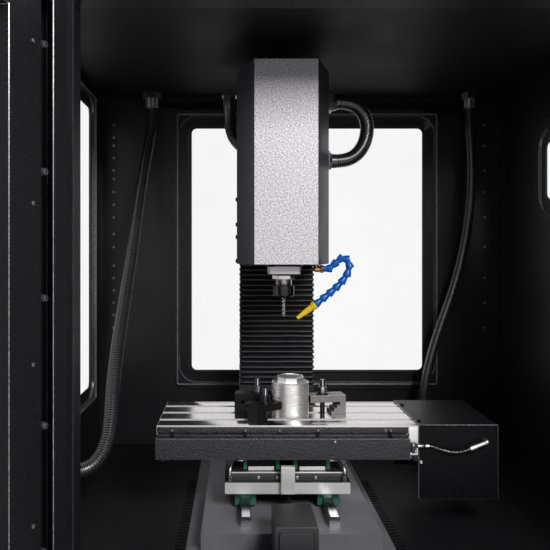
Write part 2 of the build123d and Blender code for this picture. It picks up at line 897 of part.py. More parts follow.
z_threaded = column_top - top_bracket_height - z_bearing_bottom - z_bearing_height - 2 * fit
save(
    ball_screw(
        Plane(origin=at_spindle(0, z_screw_offset, z_bearing_bottom), z_dir=(0, 0, 1)),
        z_bearing_height + fit, z_threaded, top_bracket_height + fit + motor_socket,
        z_screw_radius, journal_radius,
    ),
    "z_screw",
)
save(
    axis_motor(Plane(origin=at_spindle(0, z_screw_offset, column_top), z_dir=(0, 0, 1))),
    "z_motor",
)

# Way cover: a pleated apron with folded sides, from the column's ledge to the head
pleat = (head_bottom - bellows_bottom) / bellows_pleats
bellows_points = [(bellows_front + bellows_back, bellows_bottom)]
for fold in range(bellows_pleats):
    foot = bellows_bottom + fold * pleat
    bellows_points.append((bellows_front + bellows_pleat_depth, foot))
    bellows_points.append((bellows_front, foot + pleat / 2))
bellows_points.append((bellows_front + bellows_pleat_depth, head_bottom))
bellows_points.append((bellows_front + bellows_back, head_bottom))
bellows_plane = Plane(
    origin=(spindle_x - bellows_half_width, spindle_y, 0), x_dir=(0, 1, 0), z_dir=(1, 0, 0)
)
with BuildPart() as z_bellows:
    with BuildSketch(bellows_plane):
        with BuildLine():
            Polyline(*bellows_points, close=True)
        make_face()
    extrude(amount=2 * bellows_half_width)
    for side in (-1, 1):
        with Locations(
            at_spindle(
                side * (bellows_half_width - bellows_side / 2),
                (bellows_front + bellows_back + column_front - 2) / 2,
                (bellows_bottom + head_bottom) / 2,
            )
        ):
            Box(
                bellows_side, column_front - 2 - bellows_front - bellows_back,
                head_bottom - bellows_bottom,
            )
save(z_bellows.part, "z_bellows")

# Head: casting with its slide plate, nut housing and spindle bore
casting_bottom = head_bottom + 13
casting_top = casting_bottom + 120
casting_front = 38.0
casting_half = 45.0
rib_front = 60.0
cover_inner_half = cover_side_half - sheet
plate_half = 70.0
plate_top = 707.0
z_nut_bottom = 598.0
z_nut_height = 44.0
z_carriage_heights = (561.0, 668.0)
with BuildPart() as head_casting:
    spindle_block(
        -casting_half, casting_half, -casting_front, plate_front, casting_bottom, casting_top
    )
    spindle_block(
        -cover_inner_half, cover_inner_half, rib_front, plate_front, casting_bottom,
        casting_top - 30,
    )
    spindle_block(-plate_half, plate_half, plate_front, plate_back, head_bottom, plate_top)
    spindle_block(
        -nut_half_width, nut_half_width, plate_back, column_front - 2, z_nut_bottom,
        z_nut_bottom + z_nut_height,
    )
    rod(
        at_spindle(0, z_screw_offset, z_nut_bottom), (0, 0, 1), z_screw_radius + running,
        z_nut_height, Mode.SUBTRACT,
    )
    rod(
        at_spindle(0, 0, casting_bottom), (0, 0, 1), cartridge_radius + running,
        casting_top - casting_bottom, Mode.SUBTRACT,
    )
save(head_casting.part, "head_casting")

with BuildPart() as z_carriages:
    for side in (-1, 1):
        for height in z_carriage_heights:
            add(
                carriage(
                    Plane(
                        origin=at_spindle(side * z_rail_offset, column_front, height),
                        x_dir=(0, 0, 1), z_dir=(0, -1, 0),
                    ),
                    carriage_length + 2 * cap_length,
                )
            )
save(z_carriages.part, "z_carriages")

# Head cover: folded sheet with slanted cheeks, closed at the top and round the spindle below
bottom_hole = 34.0
cover_outline = (
    (-cover_face_half, -cover_face_front), (cover_face_half, -cover_face_front),
    (cover_side_half, cover_side_front), (cover_side_half, cover_side_back),
    (-cover_side_half, cover_side_back), (-cover_side_half, cover_side_front),
)
cover_plane = Plane(origin=(spindle_x, spindle_y, head_bottom), z_dir=(0, 0, 1))
with BuildPart() as head_cover:
    with BuildSketch(cover_plane):
        with BuildLine():
            Polyline(*cover_outline, close=True)
        make_face()
    extrude(amount=head_top - head_bottom)
    with BuildSketch(cover_plane.offset(sheet)):
        with BuildLine():
            Polyline(*cover_outline, close=True)
        make_face()
        offset(amount=-sheet, kind=Kind.INTERSECTION)
        with Locations((0, cover_side_back)):
            Rectangle(2 * cover_inner_half, 4 * sheet)
    extrude(amount=head_top - head_bottom - 2 * sheet, mode=Mode.SUBTRACT)
    rod(at_spindle(0, 0, head_bottom), (0, 0, 1), bottom_hole, sheet, Mode.SUBTRACT)
save(head_cover.part, "head_cover")

# Spindle cartridge: body in the casting's bore, round collar, square flange below
flange_above_table = 229.3
flange_bottom = table_top + flange_above_table
with BuildPart() as spindle_housing:
    rod(
        at_spindle(0, 0, flange_bottom + flange_height), (0, 0, 1), cartridge_radius,
        casting_top - flange_bottom - flange_height,
    )
    with BuildSketch(Plane(origin=at_spindle(0, 0, flange_bottom), z_dir=(0, 0, 1))):
        RectangleRounded(2 * flange_half, 2 * flange_half, 3)
    extrude(amount=flange_height)
    rod(
        at_spindle(0, 0, flange_bottom), (0, 0, 1), spindle_radius + running,
        casting_top - flange_bottom, Mode.SUBTRACT,
    )
save(spindle_housing.part, "spindle_housing")

nut_top = nut_bottom + nut_height
nose_bottom = nut_top + 11.8
nose_hex_height = 5.9
motor_shaft_radius = 8.0
motor_shaft_length = 28.0
with BuildPart() as spindle_shaft:
    rod(
        at_spindle(0, 0, nose_bottom + nose_hex_height), (0, 0, 1), spindle_radius,
        casting_top - nose_bottom - nose_hex_height,
    )
    rod(at_spindle(0, 0, casting_top), (0, 0, 1), motor_shaft_radius, motor_shaft_length)
    with BuildSketch(Plane(origin=at_spindle(0, 0, nose_bottom), z_dir=(0, 0, 1))):
        RegularPolygon(hex_across / 2, 6, major_radius=False)
    extrude(amount=nose_hex_height)
    rod(at_spindle(0, 0, nut_top), (0, 0, 1), nose_neck_radius, nose_bottom - nut_top)
save(spindle_shaft.part, "spindle_shaft")

nut_slot = 4.0
with BuildPart() as collet_nut:
    rod(at_spindle(0, 0, nut_bottom), (0, 0, 1), nut_radius, nut_height)
    chamfer(collet_nut.edges().group_by(Axis.Z)[0], 3)
    with BuildSketch(Plane(origin=at_spindle(0, 0, nut_bottom + nut_height / 3), z_dir=(0, 0, 1))):
        with PolarLocations(nut_radius, 6):
            Rectangle(2, nut_slot)
    extrude(amount=nut_height, mode=Mode.SUBTRACT)
    rod(
        at_spindle(0, 0, nut_bottom), (0, 0, 1), tool_radius, nut_height - 4, Mode.SUBTRACT
    )
save(collet_nut.part, "collet_nut")

flute_radius = 1.1
with BuildPart() as end_mill:
    rod(
        at_spindle(0, 0, nut_bottom - tool_reach), (0, 0, 1), tool_radius,
        tool_reach + nut_height - 4,
    )
    with BuildSketch(Plane(origin=at_spindle(0, 0, nut_bottom - tool_reach), z_dir=(0, 0, 1))):
        with PolarLocations(tool_radius, 2):
            Circle(flute_radius)
    extrude(amount=tool_reach * 0.7, mode=Mode.SUBTRACT)
save(end_mill.part, "end_mill")

spindle_motor_half = 40.0
spindle_motor_length = 140.0
with BuildPart() as spindle_motor:
    with BuildSketch(Plane(origin=at_spindle(0, 0, casting_top), z_dir=(0, 0, 1))):
        RectangleRounded(2 * spindle_motor_half, 2 * spindle_motor_half, 6)
    extrude(amount=spindle_motor_length)
    rod(
        at_spindle(0, 0, casting_top), (0, 0, 1), motor_shaft_radius + running,
        motor_shaft_length + 1, Mode.SUBTRACT,
    )
save(spindle_motor.part, "spindle_motor")

# Coolant line: brass elbow under the head, then a jointed hose in two lengths and a nozzle
hose_route = (
    (66.9, 4.0, 509.0), (76.0, 4.0, 509.8), (85.5, 4.0, 518.2), (95.5, 4.2, 526.5),
    (104.5, 4.6, 525.0), (109.5, 5.0, 513.5), (105.5, 5.6, 500.0), (97.5, 6.4, 488.5),
    (88.0, 7.2, 478.5), (77.5, 8.1, 469.2), (67.0, 9.0, 460.5), (56.0, 10.0, 451.5),
)
nozzle_tip = (23.7, 13.0, 426.4)
bend_index = 5
hose_points = [at_spindle(*point) for point in hose_route]
nozzle_start = hose_points[-1]
nozzle_end = at_spindle(*nozzle_tip)


def hose_element(start, end):
    """One link: a round neck that widens into a skirt over the next link."""
    run = Vector(*end) - Vector(*start)
    along = run.length
    rod(start, run.normalized(), hose_neck_radius, along)
    widest = Vector(*start) + run * 0.62
    with Locations(Plane(origin=widest, z_dir=run.normalized())):
        Cone(
            hose_neck_radius, hose_skirt_radius, along * 0.62,
            align=(Align.CENTER, Align.CENTER, Align.MAX),
        )
        Cylinder(
            hose_skirt_radius, along * 0.2, align=(Align.CENTER, Align.CENTER, Align.MIN)
        )
    with Locations(start):
        Sphere(hose_neck_radius)


def ball_stub(centre, end):
    """A ball with a short neck that leads to the next link."""
    with Locations(centre):
        Sphere(ball_radius)
    run = Vector(*end) - Vector(*centre)
    rod(centre, run.normalized(), 3.2, run.length)


elbow_reach = 13.0
elbow_radius = 5.5
elbow_hex = 6.6
with BuildPart() as coolant_elbow:
    hose_x, hose_y, hose_z = hose_route[0]
    corner = at_spindle(hose_x - elbow_reach, hose_y, hose_z)
    rod(corner, (0, 0, 1), elbow_radius, head_bottom - hose_z)
    rod(corner, (1, 0, 0), elbow_radius, elbow_reach / 2)
    with Locations(corner):
        Sphere(elbow_radius)
    hexagon = at_spindle(hose_x - elbow_hex - fit, hose_y, hose_z)
    with BuildSketch(Plane(origin=hexagon, z_dir=(1, 0, 0))):
        RegularPolygon(elbow_radius + 1, 6, major_radius=False)
    extrude(amount=elbow_hex)
save(coolant_elbow.part, "coolant_elbow")
with BuildPart() as coolant_hose_base:
    for start, end in zip(hose_points[:bend_index], hose_points[1:bend_index + 1]):
        hose_element(start, end)
    bend_direction = Vector(*hose_points[bend_index + 1]) - Vector(*hose_points[bend_index])
    with Locations(hose_points[bend_index]):
        Sphere(hose_skirt_radius)
    with Locations(Plane(origin=hose_points[bend_index], z_dir=bend_direction.normalized())):
        Box(30, 30, 30, align=(Align.CENTER, Align.CENTER, Align.MIN), mode=Mode.SUBTRACT)
    with Locations(hose_points[bend_index]):
        Sphere(ball_radius + fit, mode=Mode.SUBTRACT)
    with Locations(Plane(origin=hose_points[0], z_dir=(-1, 0, 0))):
        Box(30, 30, 30, align=(Align.CENTER, Align.CENTER, Align.MIN), mode=Mode.SUBTRACT)
save(coolant_hose_base.part, "coolant_hose_base")
with BuildPart() as coolant_hose_end:
    for start, end in zip(hose_points[bend_index:-1], hose_points[bend_index + 1:]):
        hose_element(start, end)
    clear_start = Vector(*hose_points[bend_index]) + bend_direction.normalized() * 2.4
    with Locations(Plane(origin=clear_start, z_dir=-bend_direction.normalized())):
        Box(40, 40, 40, align=(Align.CENTER, Align.CENTER, Align.MIN), mode=Mode.SUBTRACT)
    ball_stub(hose_points[bend_index], hose_points[bend_index + 1])
    nozzle_direction = (Vector(*nozzle_end) - Vector(*nozzle_start)).normalized()
    with Locations(nozzle_start):
        Sphere(hose_skirt_radius)
    with Locations(Plane(origin=nozzle_start, z_dir=nozzle_direction)):
        Box(30, 30, 30, align=(Align.CENTER, Align.CENTER, Align.MIN), mode=Mode.SUBTRACT)
    with Locations(nozzle_start):
        Sphere(ball_radius + fit, mode=Mode.SUBTRACT)
save(coolant_hose_end.part, "coolant_hose_end")
nozzle_length = (Vector(*nozzle_end) - Vector(*nozzle_start)).length
with BuildPart() as coolant_nozzle:
    with Locations(nozzle_start):
        Sphere(ball_radius)
    rod(nozzle_start, nozzle_direction, 3.2, 8)
    with Locations(Plane(origin=Vector(*nozzle_start) + nozzle_direction * 2.6, z_dir=nozzle_direction)):
        Cone(
            hose_skirt_radius, hose_skirt_radius + 0.6, 9,
            align=(Align.CENTER, Align.CENTER, Align.MIN),
        )
    with Locations(Plane(origin=Vector(*nozzle_start) + nozzle_direction * 11.6, z_dir=nozzle_direction)):
        Cone(
            hose_neck_radius + 1, 3.4, nozzle_length - 11.6,
            align=(Align.CENTER, Align.CENTER, Align.MIN),
        )
    rod(
        Vector(*nozzle_start) + nozzle_direction * 12, nozzle_direction, 2, nozzle_length,
        Mode.SUBTRACT,
    )
save(coolant_nozzle.part, "coolant_nozzle")


# Cords: straight runs joined by arcs as large as their runs allow
def corner_radii(name, points):
    """Each corner's radius, from its two runs and its turn, printed for the record."""
    radii = []
    for before, here, after in zip(points, points[1:], points[2:]):
        first, second = Vector(*here) - Vector(*before), Vector(*after) - Vector(*here)
        turn = radians(first.get_angle(second))
        radii.append(0.45 * min(first.length, second.length) / tan(turn / 2))
    print(name, "radii", [round(radius) for radius in radii])
    return radii


def cord(name, points, diameter):
    """A tube along its route."""
    with BuildPart() as tube:
        with BuildLine() as route:
            FilletPolyline(*points, radius=corner_radii(name, points))
        path = route.wires()[0]
        with BuildSketch(Plane(origin=path @ 0, z_dir=path % 0)):
            Circle(diameter / 2)
        sweep()
    length = sum(edge.length for edge in route.edges())
    share = tube.part.volume / (pi * diameter ** 2 / 4 * length)
    print(name, "length", round(length), "volume share", round(share, 4))
    save(tube.part, name)


# From the left wall and the back wall
left_route = (
    (120.5, -35.0, 845.0), (120.5, -35.0, 812.0), (117.0, -42.6, 772.0), (109.0, -61.6, 712.0),
    (103.5, -87.6, 652.0), (100.5, -117.6, 594.0), (98.0, -149.6, 536.0), (95.0, -185.6, 480.0),
    (93.0, -223.6, 426.0), (91.5, -265.6, 372.0), (92.0, -306.6, 316.0), (96.0, -344.6, 266.0),
    (95.5, -374.6, 229.0), (84.0, -402.6, 204.0), (61.0, -418.6, 196.0), (34.0, -418.6, 196.0),
)
# From the right wall and the back wall
right_route = (
    (-78.0, -35.0, 845.0), (-78.0, -35.0, 812.0), (-74.5, -35.6, 766.0), (-73.2, -36.6, 708.0),
    (-76.0, -38.6, 650.0), (-83.0, -40.6, 592.0), (-94.0, -43.6, 536.0), (-108.5, -47.6, 482.0),
    (-127.0, -53.6, 430.0), (-148.0, -59.6, 378.0), (-167.5, -66.1, 324.0), (-182.0, -71.6, 270.0),
    (-190.5, -75.6, 216.0), (-193.0, -77.6, 166.0), (-193.0, -77.6, 140.0),
)
right_head_route = (
    (101.0, 94.0, 806.0), (124.0, 94.0, 806.0), (145.5, 94.8, 794.5), (156.8, 95.6, 774.0),
    (157.4, 95.2, 750.0), (150.5, 94.6, 727.0), (135.0, 94.2, 708.0), (113.0, 94.0, 700.0),
    (92.0, 94.0, 700.0),
)
left_head_route = (
    (-92.0, 150.0, 829.0), (-92.0, 150.0, 815.0), (-92.0, 156.0, 799.0), (-91.5, 168.0, 784.0),
    (-88.0, 182.0, 768.0), (-81.0, 190.0, 753.0), (-70.0, 191.0, 742.0), (-58.0, 190.0, 738.0),
    (-48.0, 190.0, 738.0),
)
# From the table's front face
switch_route = (
    (210.0, -6.0, 242.6), (219.0, -6.0, 242.6), (230.0, -7.6, 238.2), (243.0, -9.8, 235.0),
    (256.0, -11.2, 234.4), (267.0, -12.0, 236.6), (275.0, -12.2, 240.0),
)
oil_left_route = (
    (-67.5, -55.0, 212.0), (-74.0, -55.0, 212.0), (-81.0, -60.0, 213.0), (-86.0, -68.5, 210.5),
    (-88.0, -75.0, 203.0), (-88.0, -75.0, 194.0),
)
switch_cable = 5.0
plug_length = 27.0
oil_pipe = 4.0


def from_spindle(points):
    """The points of a route that is given from the spindle axis."""
    return [at_spindle(*point) for point in points]


left_points = [(x - half_width, back_inner + y, z) for x, y, z in left_route]
right_points = [(half_width + x, back_inner + y, z) for x, y, z in right_route]
switch_points = from_spindle([(x, y - table_half_depth, z) for x, y, z in switch_route])
cord("left_wall_conduit", left_points, left_conduit)
cord("right_wall_conduit", right_points, right_conduit)
cord("right_head_conduit", from_spindle(right_head_route), head_conduit)
cord("left_head_conduit", from_spindle(left_head_route), head_conduit - 2)
cord("switch_cable", switch_points, switch_cable)


# Glands: a hexagon nut and a threaded collar
gland_nut = 14.0
gland_nut_share = 0.72
gland_collar_share = 0.62
with BuildPart() as wall_conduit_fittings:
    for x, y, z, size in ((*left_points[0], left_conduit), (*right_points[0], right_conduit)):
        with BuildSketch(Plane(origin=(x, y, ceiling), z_dir=(0, 0, -1))):
            RegularPolygon(size * gland_nut_share, 6, major_radius=False)
        extrude(amount=gland_nut)
        rod((x, y, ceiling), (0, 0, -1), size * gland_collar_share, ceiling - z)
    x, y, z = left_points[-1]
    with BuildSketch(Plane(origin=(-half_width, y, z), z_dir=(1, 0, 0))):
        RegularPolygon(left_conduit * gland_nut_share, 6, major_radius=False)
    extrude(amount=gland_nut)
    rod((-half_width, y, z), (1, 0, 0), left_conduit * gland_collar_share, x + half_width)
    x, y, z = right_points[-1]
    with BuildSketch(Plane(origin=(x, y, tray_top), z_dir=(0, 0, 1))):
        RegularPolygon(right_conduit * gland_nut_share, 6, major_radius=False)
    extrude(amount=gland_nut)
    rod((x, y, tray_top), (0, 0, 1), right_conduit * gland_collar_share, z - tray_top)
save(wall_conduit_fittings.part, "wall_conduit_fittings")

box_width = 18.0
box_depth = 26.0
with BuildPart() as head_conduit_fittings:
    for x, y, z in (right_head_route[0], right_head_route[-1]):
        start = at_spindle(cover_side_half, y, z)
        rod(start, (1, 0, 0), head_conduit * 0.6, x - cover_side_half)
        with BuildSketch(Plane(origin=start, z_dir=(1, 0, 0))):
            RectangleRounded(head_conduit * 1.35, head_conduit * 1.35, 4)
        extrude(amount=(x - cover_side_half) * 0.7)
    x, y, z = left_head_route[0]
    spindle_block(x - 13, -cover_side_half, y - 13, y + 13, z, head_top)
    x, y, z = left_head_route[-1]
    spindle_block(x, x + box_width, plate_front, plate_front + box_depth, plate_top, z + 13)
save(head_conduit_fittings.part, "head_conduit_fittings")

with BuildPart() as cable_plug:
    plug_start = Vector(*switch_points[-1])
    plug_run = (plug_start - Vector(*switch_points[-2])).normalized() * plug_length
    plug_end = plug_start + plug_run
    rod(plug_start, plug_run.normalized(), 4.6, plug_run.length * 0.42)
    rod(plug_start, plug_run.normalized(), 3.8, plug_run.length)
    with Locations(plug_end):
        Sphere(4.4)
    rod(plug_end, (0, 1, 0), 4.2, spindle_y - cover_half - plug_end.Y)
save(cable_plug.part, "cable_plug")

with BuildPart() as oil_pipes:
    for side in (-1, 1):
        points = from_spindle([(-side * x, y, z) for x, y, z in oil_left_route])
        with BuildLine() as oil_route:
            FilletPolyline(*points, radius=corner_radii("oil_pipe", points))
        oil_path = oil_route.wires()[0]
        with BuildSketch(Plane(origin=oil_path @ 0, z_dir=oil_path % 0)):
            Circle(oil_pipe / 2)
        sweep()
        rod(points[-1], (0, 0, -1), 4.2, points[-1][2] - saddle_top + saddle_step_top)
save(oil_pipes.part, "oil_pipes")
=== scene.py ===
"""Dresses the enclosed desktop milling machine: coats, ground metal, pleats, conduits, screws.

Lengths in the classes are millimetres in the machine's own frame, and meshes are made in metres.
"""
from __future__ import annotations

import json
import logging
import math
import random
from dataclasses import dataclass, field
from enum import Enum
from typing import Any, Callable, Iterable, Optional, Sequence, Union

import bmesh
import bpy
from mathutils import Matrix, Vector

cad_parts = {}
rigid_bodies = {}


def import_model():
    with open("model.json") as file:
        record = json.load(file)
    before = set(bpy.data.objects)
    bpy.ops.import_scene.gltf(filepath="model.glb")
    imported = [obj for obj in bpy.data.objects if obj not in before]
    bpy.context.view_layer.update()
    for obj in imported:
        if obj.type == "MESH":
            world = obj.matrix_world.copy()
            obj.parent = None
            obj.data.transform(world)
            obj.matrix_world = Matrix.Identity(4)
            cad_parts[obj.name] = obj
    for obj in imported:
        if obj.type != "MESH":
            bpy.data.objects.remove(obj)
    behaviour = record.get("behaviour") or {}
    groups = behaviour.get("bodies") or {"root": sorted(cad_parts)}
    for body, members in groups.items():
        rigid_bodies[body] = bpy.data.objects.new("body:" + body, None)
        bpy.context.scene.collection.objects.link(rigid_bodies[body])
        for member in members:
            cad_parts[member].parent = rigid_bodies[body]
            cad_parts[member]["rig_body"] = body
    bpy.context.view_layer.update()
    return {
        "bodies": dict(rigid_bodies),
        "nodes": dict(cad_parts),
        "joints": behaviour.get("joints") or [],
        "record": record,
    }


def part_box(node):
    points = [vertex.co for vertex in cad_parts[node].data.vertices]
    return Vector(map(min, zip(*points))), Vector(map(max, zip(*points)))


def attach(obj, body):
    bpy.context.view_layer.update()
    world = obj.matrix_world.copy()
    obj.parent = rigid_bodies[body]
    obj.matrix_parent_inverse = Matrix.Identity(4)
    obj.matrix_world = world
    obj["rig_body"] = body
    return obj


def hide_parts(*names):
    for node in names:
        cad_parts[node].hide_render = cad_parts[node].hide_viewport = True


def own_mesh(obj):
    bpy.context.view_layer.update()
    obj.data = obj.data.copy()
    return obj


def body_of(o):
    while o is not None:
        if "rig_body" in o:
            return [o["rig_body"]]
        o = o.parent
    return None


LOG = logging.getLogger("milling_machine")
MM = 0.001
# Where the spindle's axis stands, and how many degrees the doors are opened at rest.
SPINDLE = Vector((-60.0, 131.641, 0.0))
DOORS_OPENED = 105.0
# From which share of its normal along an axis a face looks that way, and is square to it.
TOWARDS = 0.9
SQUARE = 0.96
# Degrees from which an edge stays sharp, broken in one step and in several.
SHARP_TURN = 28.0
SHARP_STEP = 20.0
WHITE = (1.0, 1.0, 1.0)

Number = Union[int, float]
Point = tuple[float, float, float]
Colour = tuple[float, float, float]

# The materials that the finishes have made, by the finish's name.
MADE: dict[str, bpy.types.Material] = {}


class Along(Enum):
    """The direction that the marks of a ground face run in."""

    X = (1.0, 0.0, 0.0)
    Z = (0.0, 0.0, 1.0)


class Signal:
    """A socket's output that takes part in expressions."""

    def __init__(self, graph: Graph, socket: bpy.types.NodeSocket) -> None:
        """Keeps the socket and its graph."""
        self.graph = graph
        self.socket = socket

    def _math(self, operation: str, first: Any, second: Any) -> Signal:
        """Adds one Math node."""
        return self.graph.node("ShaderNodeMath", {"operation": operation}, {0: first, 1: second})

    def __add__(self, other: Any) -> Signal:
        """Sum."""
        return self._math("ADD", self, other)

    def __radd__(self, other: Number) -> Signal:
        """Sum with a number on the left."""
        return self._math("ADD", other, self)

    def __sub__(self, other: Any) -> Signal:
        """Difference."""
        return self._math("SUBTRACT", self, other)

    def __rsub__(self, other: Number) -> Signal:
        """Difference from a number."""
        return self._math("SUBTRACT", other, self)

    def __mul__(self, other: Any) -> Signal:
        """Product."""
        return self._math("MULTIPLY", self, other)

    def __rmul__(self, other: Number) -> Signal:
        """Product with a number on the left."""
        return self._math("MULTIPLY", other, self)

    def __truediv__(self, other: Any) -> Signal:
        """Quotient."""
        return self._math("DIVIDE", self, other)

    def clamp(self) -> Signal:
        """This, kept from 0 to 1."""
        return self.graph.node("ShaderNodeClamp", {}, {"Value": self})


class Graph:
    """The node tree of one finish."""

    def __init__(self, name: str) -> None:
        """Makes the material with its shader and its output.

        Args:
            name: the material's name.
        """
        self.material = bpy.data.materials.new(name)
        self.material.use_nodes = True
        self.tree = self.material.node_tree
        self.tree.nodes.clear()
        self.shader = self.tree.nodes.new("ShaderNodeBsdfPrincipled")
        output = self.tree.nodes.new("ShaderNodeOutputMaterial")
        self.tree.links.new(self.shader.outputs[0], output.inputs["Surface"])
        self.place = self.tree.nodes.new("ShaderNodeTexCoord").outputs["Object"]

    def plug(self, socket: bpy.types.NodeSocket, value: Any) -> None:
        """Sets a socket, or links it where the value comes from another node.

        Args:
            socket: the input.
            value: a number, a colour, a vector, a signal or another node's output.
        """
        if isinstance(value, Signal):
            self.tree.links.new(value.socket, socket)
        elif isinstance(value, bpy.types.NodeSocket):
            self.tree.links.new(value, socket)
        elif isinstance(value, tuple) and len(value) == 3 and socket.type == "RGBA":
            socket.default_value = (*value, 1.0)
        else:
            socket.default_value = value

    def node(
        self, kind: str, settings: dict[str, Any], values: dict[Any, Any], out: Any = 0
    ) -> Signal:
        """Adds any node.

        Args:
            kind: the node's type.
            settings: the node's own settings, set before its sockets.
            values: values or links of its sockets, by name or place.
            out: which output to return.

        Returns:
            The output, ready for expressions.
        """
        made = self.tree.nodes.new(kind)
        for name, value in settings.items():
            setattr(made, name, value)
        for name, value in values.items():
            self.plug(made.inputs[name], value)
        return Signal(self, made.outputs[out])

    def set(self, **sockets: Any) -> None:
        """Sets or links the shader's own sockets, with _ for a space."""
        for name, value in sockets.items():
            self.plug(self.shader.inputs[name.replace("_", " ")], value)

    def stretched(self, scale: Point) -> Signal:
        """The piece's own coordinates, stretched."""
        return self.node("ShaderNodeMapping", {}, {"Vector": self.place, "Scale": scale})

    def noise(self, scale: float, detail: float = 2.0, where: Any = None) -> Signal:
        """Soft noise from 0 to 1."""
        return self.node(
            "ShaderNodeTexNoise", {},
            {"Vector": where or self.place, "Scale": scale, "Detail": detail},
        )

    def cells(self, scale: float, where: Any = None) -> Signal:
        """Distance to the nearest cell centre."""
        return self.node(
            "ShaderNodeTexVoronoi", {}, {"Vector": where or self.place, "Scale": scale}
        )

    def mix(self, factor: Any, first: Any, second: Any) -> Signal:
        """A colour between two."""
        return self.node(
            "ShaderNodeMix", {"data_type": "RGBA"}, {0: factor, 6: first, 7: second}, out=2
        )

    def bump(self, height: Signal, distance: float, strength: float = 1.0) -> Signal:
        """A normal that follows a height in millimetres."""
        return self.node(
            "ShaderNodeBump", {},
            {"Height": height, "Distance": distance * MM, "Strength": strength}, "Normal",
        )


class WorldGraph(Graph):
    """The node tree of the surroundings."""

    def __init__(self, name: str) -> None:
        """Makes the scene's world, still without nodes.

        Args:
            name: the world's name.
        """
        world = bpy.data.worlds.new(name)
        world.use_nodes = True
        bpy.context.scene.world = world
        self.tree = world.node_tree
        self.tree.nodes.clear()

    def light(self, strength: float) -> Signal:
        """White light from everywhere."""
        return self.node("ShaderNodeBackground", {}, {"Color": WHITE, "Strength": strength})

    def blend(self, factor: Signal, first: Signal, second: Signal) -> Signal:
        """One light or the other."""
        return self.node("ShaderNodeMixShader", {}, {0: factor, 1: first, 2: second})


def shade(colour: Colour, factor: float) -> Colour:
    """A lighter or darker colour."""
    return tuple(min(1.0, channel * factor) for channel in colour)


@dataclass(frozen=True)
class Finish:
    """What every finish has: a name, a colour, a roughness and a gloss."""

    name: str
    colour: Colour
    roughness: float = 0.5
    gloss: float = 0.5

    def paint(self, graph: Graph) -> None:
        """Fills the graph; each finish has its own way.

        Args:
            graph: the material's node tree.
        """
        raise NotImplementedError

    def material(self) -> bpy.types.Material:
        """The material, made once.

        Returns:
            The finish's material.
        """
        if self.name not in MADE:
            graph = Graph(self.name)
            graph.set(
                Base_Color=self.colour, Roughness=self.roughness, Specular_IOR_Level=self.gloss
            )
            self.paint(graph)
            MADE[self.name] = graph.material
        return MADE[self.name]


@dataclass(frozen=True)
class PowderCoat(Finish):
    """Textured powder coat: orange peel, fine grains and rubbed places."""

    grain: float = 900.0
    depth: float = 0.12
    speckle: float = 1.6
    wear: float = 0.35
    patches: float = 9.0

    def paint(self, graph: Graph) -> None:
        """Grains in the colour and the height, broad dull patches in the roughness.

        Args:
            graph: the material's node tree.
        """
        peel = graph.noise(self.grain, 3.0)
        grains = graph.cells(self.grain * 0.8)
        patches = graph.noise(self.patches, 4.0)
        speck = ((peel - 0.5) * 2.4 + 0.5).clamp()
        dark, light = shade(self.colour, 1 / self.speckle), shade(self.colour, self.speckle)
        colour = graph.mix(speck, dark, light)
        rubbed = (patches - 0.52).clamp() * self.wear
        graph.set(
            Base_Color=graph.mix(rubbed, colour, shade(self.colour, 3.0)),
            Roughness=(patches * 0.22 + (self.roughness - 0.11)),
            Normal=graph.bump(peel * 0.6 + grains * 0.4, self.depth),
        )


@dataclass(frozen=True)
class GroundMetal(Finish):
    """Ground or brushed metal whose marks run along one axis."""

    along: Along = Along.X
    marks: float = 1400.0
    depth: float = 0.006
    metallic: float = 1.0
    stain: float = 0.25
    clouds: float = 14.0

    def paint(self, graph: Graph) -> None:
        """Fine lines along the axis, over broad cloudy stains.

        Args:
            graph: the material's node tree.
        """
        scale = tuple(0.02 if part else 1.0 for part in self.along.value)
        lines = graph.noise(self.marks, 2.0, graph.stretched(scale))
        clouds = graph.noise(self.clouds, 4.0)
        tone = (lines * 0.5 + clouds * 0.5 - 0.25).clamp()
        graph.set(
            Base_Color=graph.mix(tone * self.stain * 2.0, self.colour, shade(self.colour, 0.6)),
            Metallic=self.metallic,
            Roughness=(clouds * 0.2 + lines * 0.12 + (self.roughness - 0.16)),
            Normal=graph.bump(lines, self.depth),
        )


@dataclass(frozen=True)
class TurnedMetal(Finish):
    """Turned metal: fine rings round an upright axis."""

    rings: float = 900.0
    depth: float = 0.01
    metallic: float = 1.0
    clouds: float = 40.0

    def paint(self, graph: Graph) -> None:
        """Rings by height, with a little noise.

        Args:
            graph: the material's node tree.
        """
        rings = graph.noise(self.rings, 1.0, graph.stretched((0.01, 0.01, 1.0)))
        clouds = graph.noise(self.clouds, 3.0)
        graph.set(
            Base_Color=graph.mix(clouds, self.colour, shade(self.colour, 0.72)),
            Metallic=self.metallic,
            Roughness=(rings * 0.2 + (self.roughness - 0.1)),
            Normal=graph.bump(rings, self.depth),
        )


@dataclass(frozen=True)
class Casting(Finish):
    """Painted casting: a coarse skin under satin paint."""

    skin: float = 160.0
    patches: float = 20.0
    depth: float = 0.25

    def paint(self, graph: Graph) -> None:
        """Coarse waves and fine pores.

        Args:
            graph: the material's node tree.
        """
        skin = graph.noise(self.skin, 5.0)
        patches = graph.noise(self.patches, 3.0)
        graph.set(
            Base_Color=graph.mix(patches, shade(self.colour, 0.7), shade(self.colour, 1.5)),
            Roughness=(patches * 0.2 + (self.roughness - 0.1)),
            Normal=graph.bump(skin, self.depth),
        )


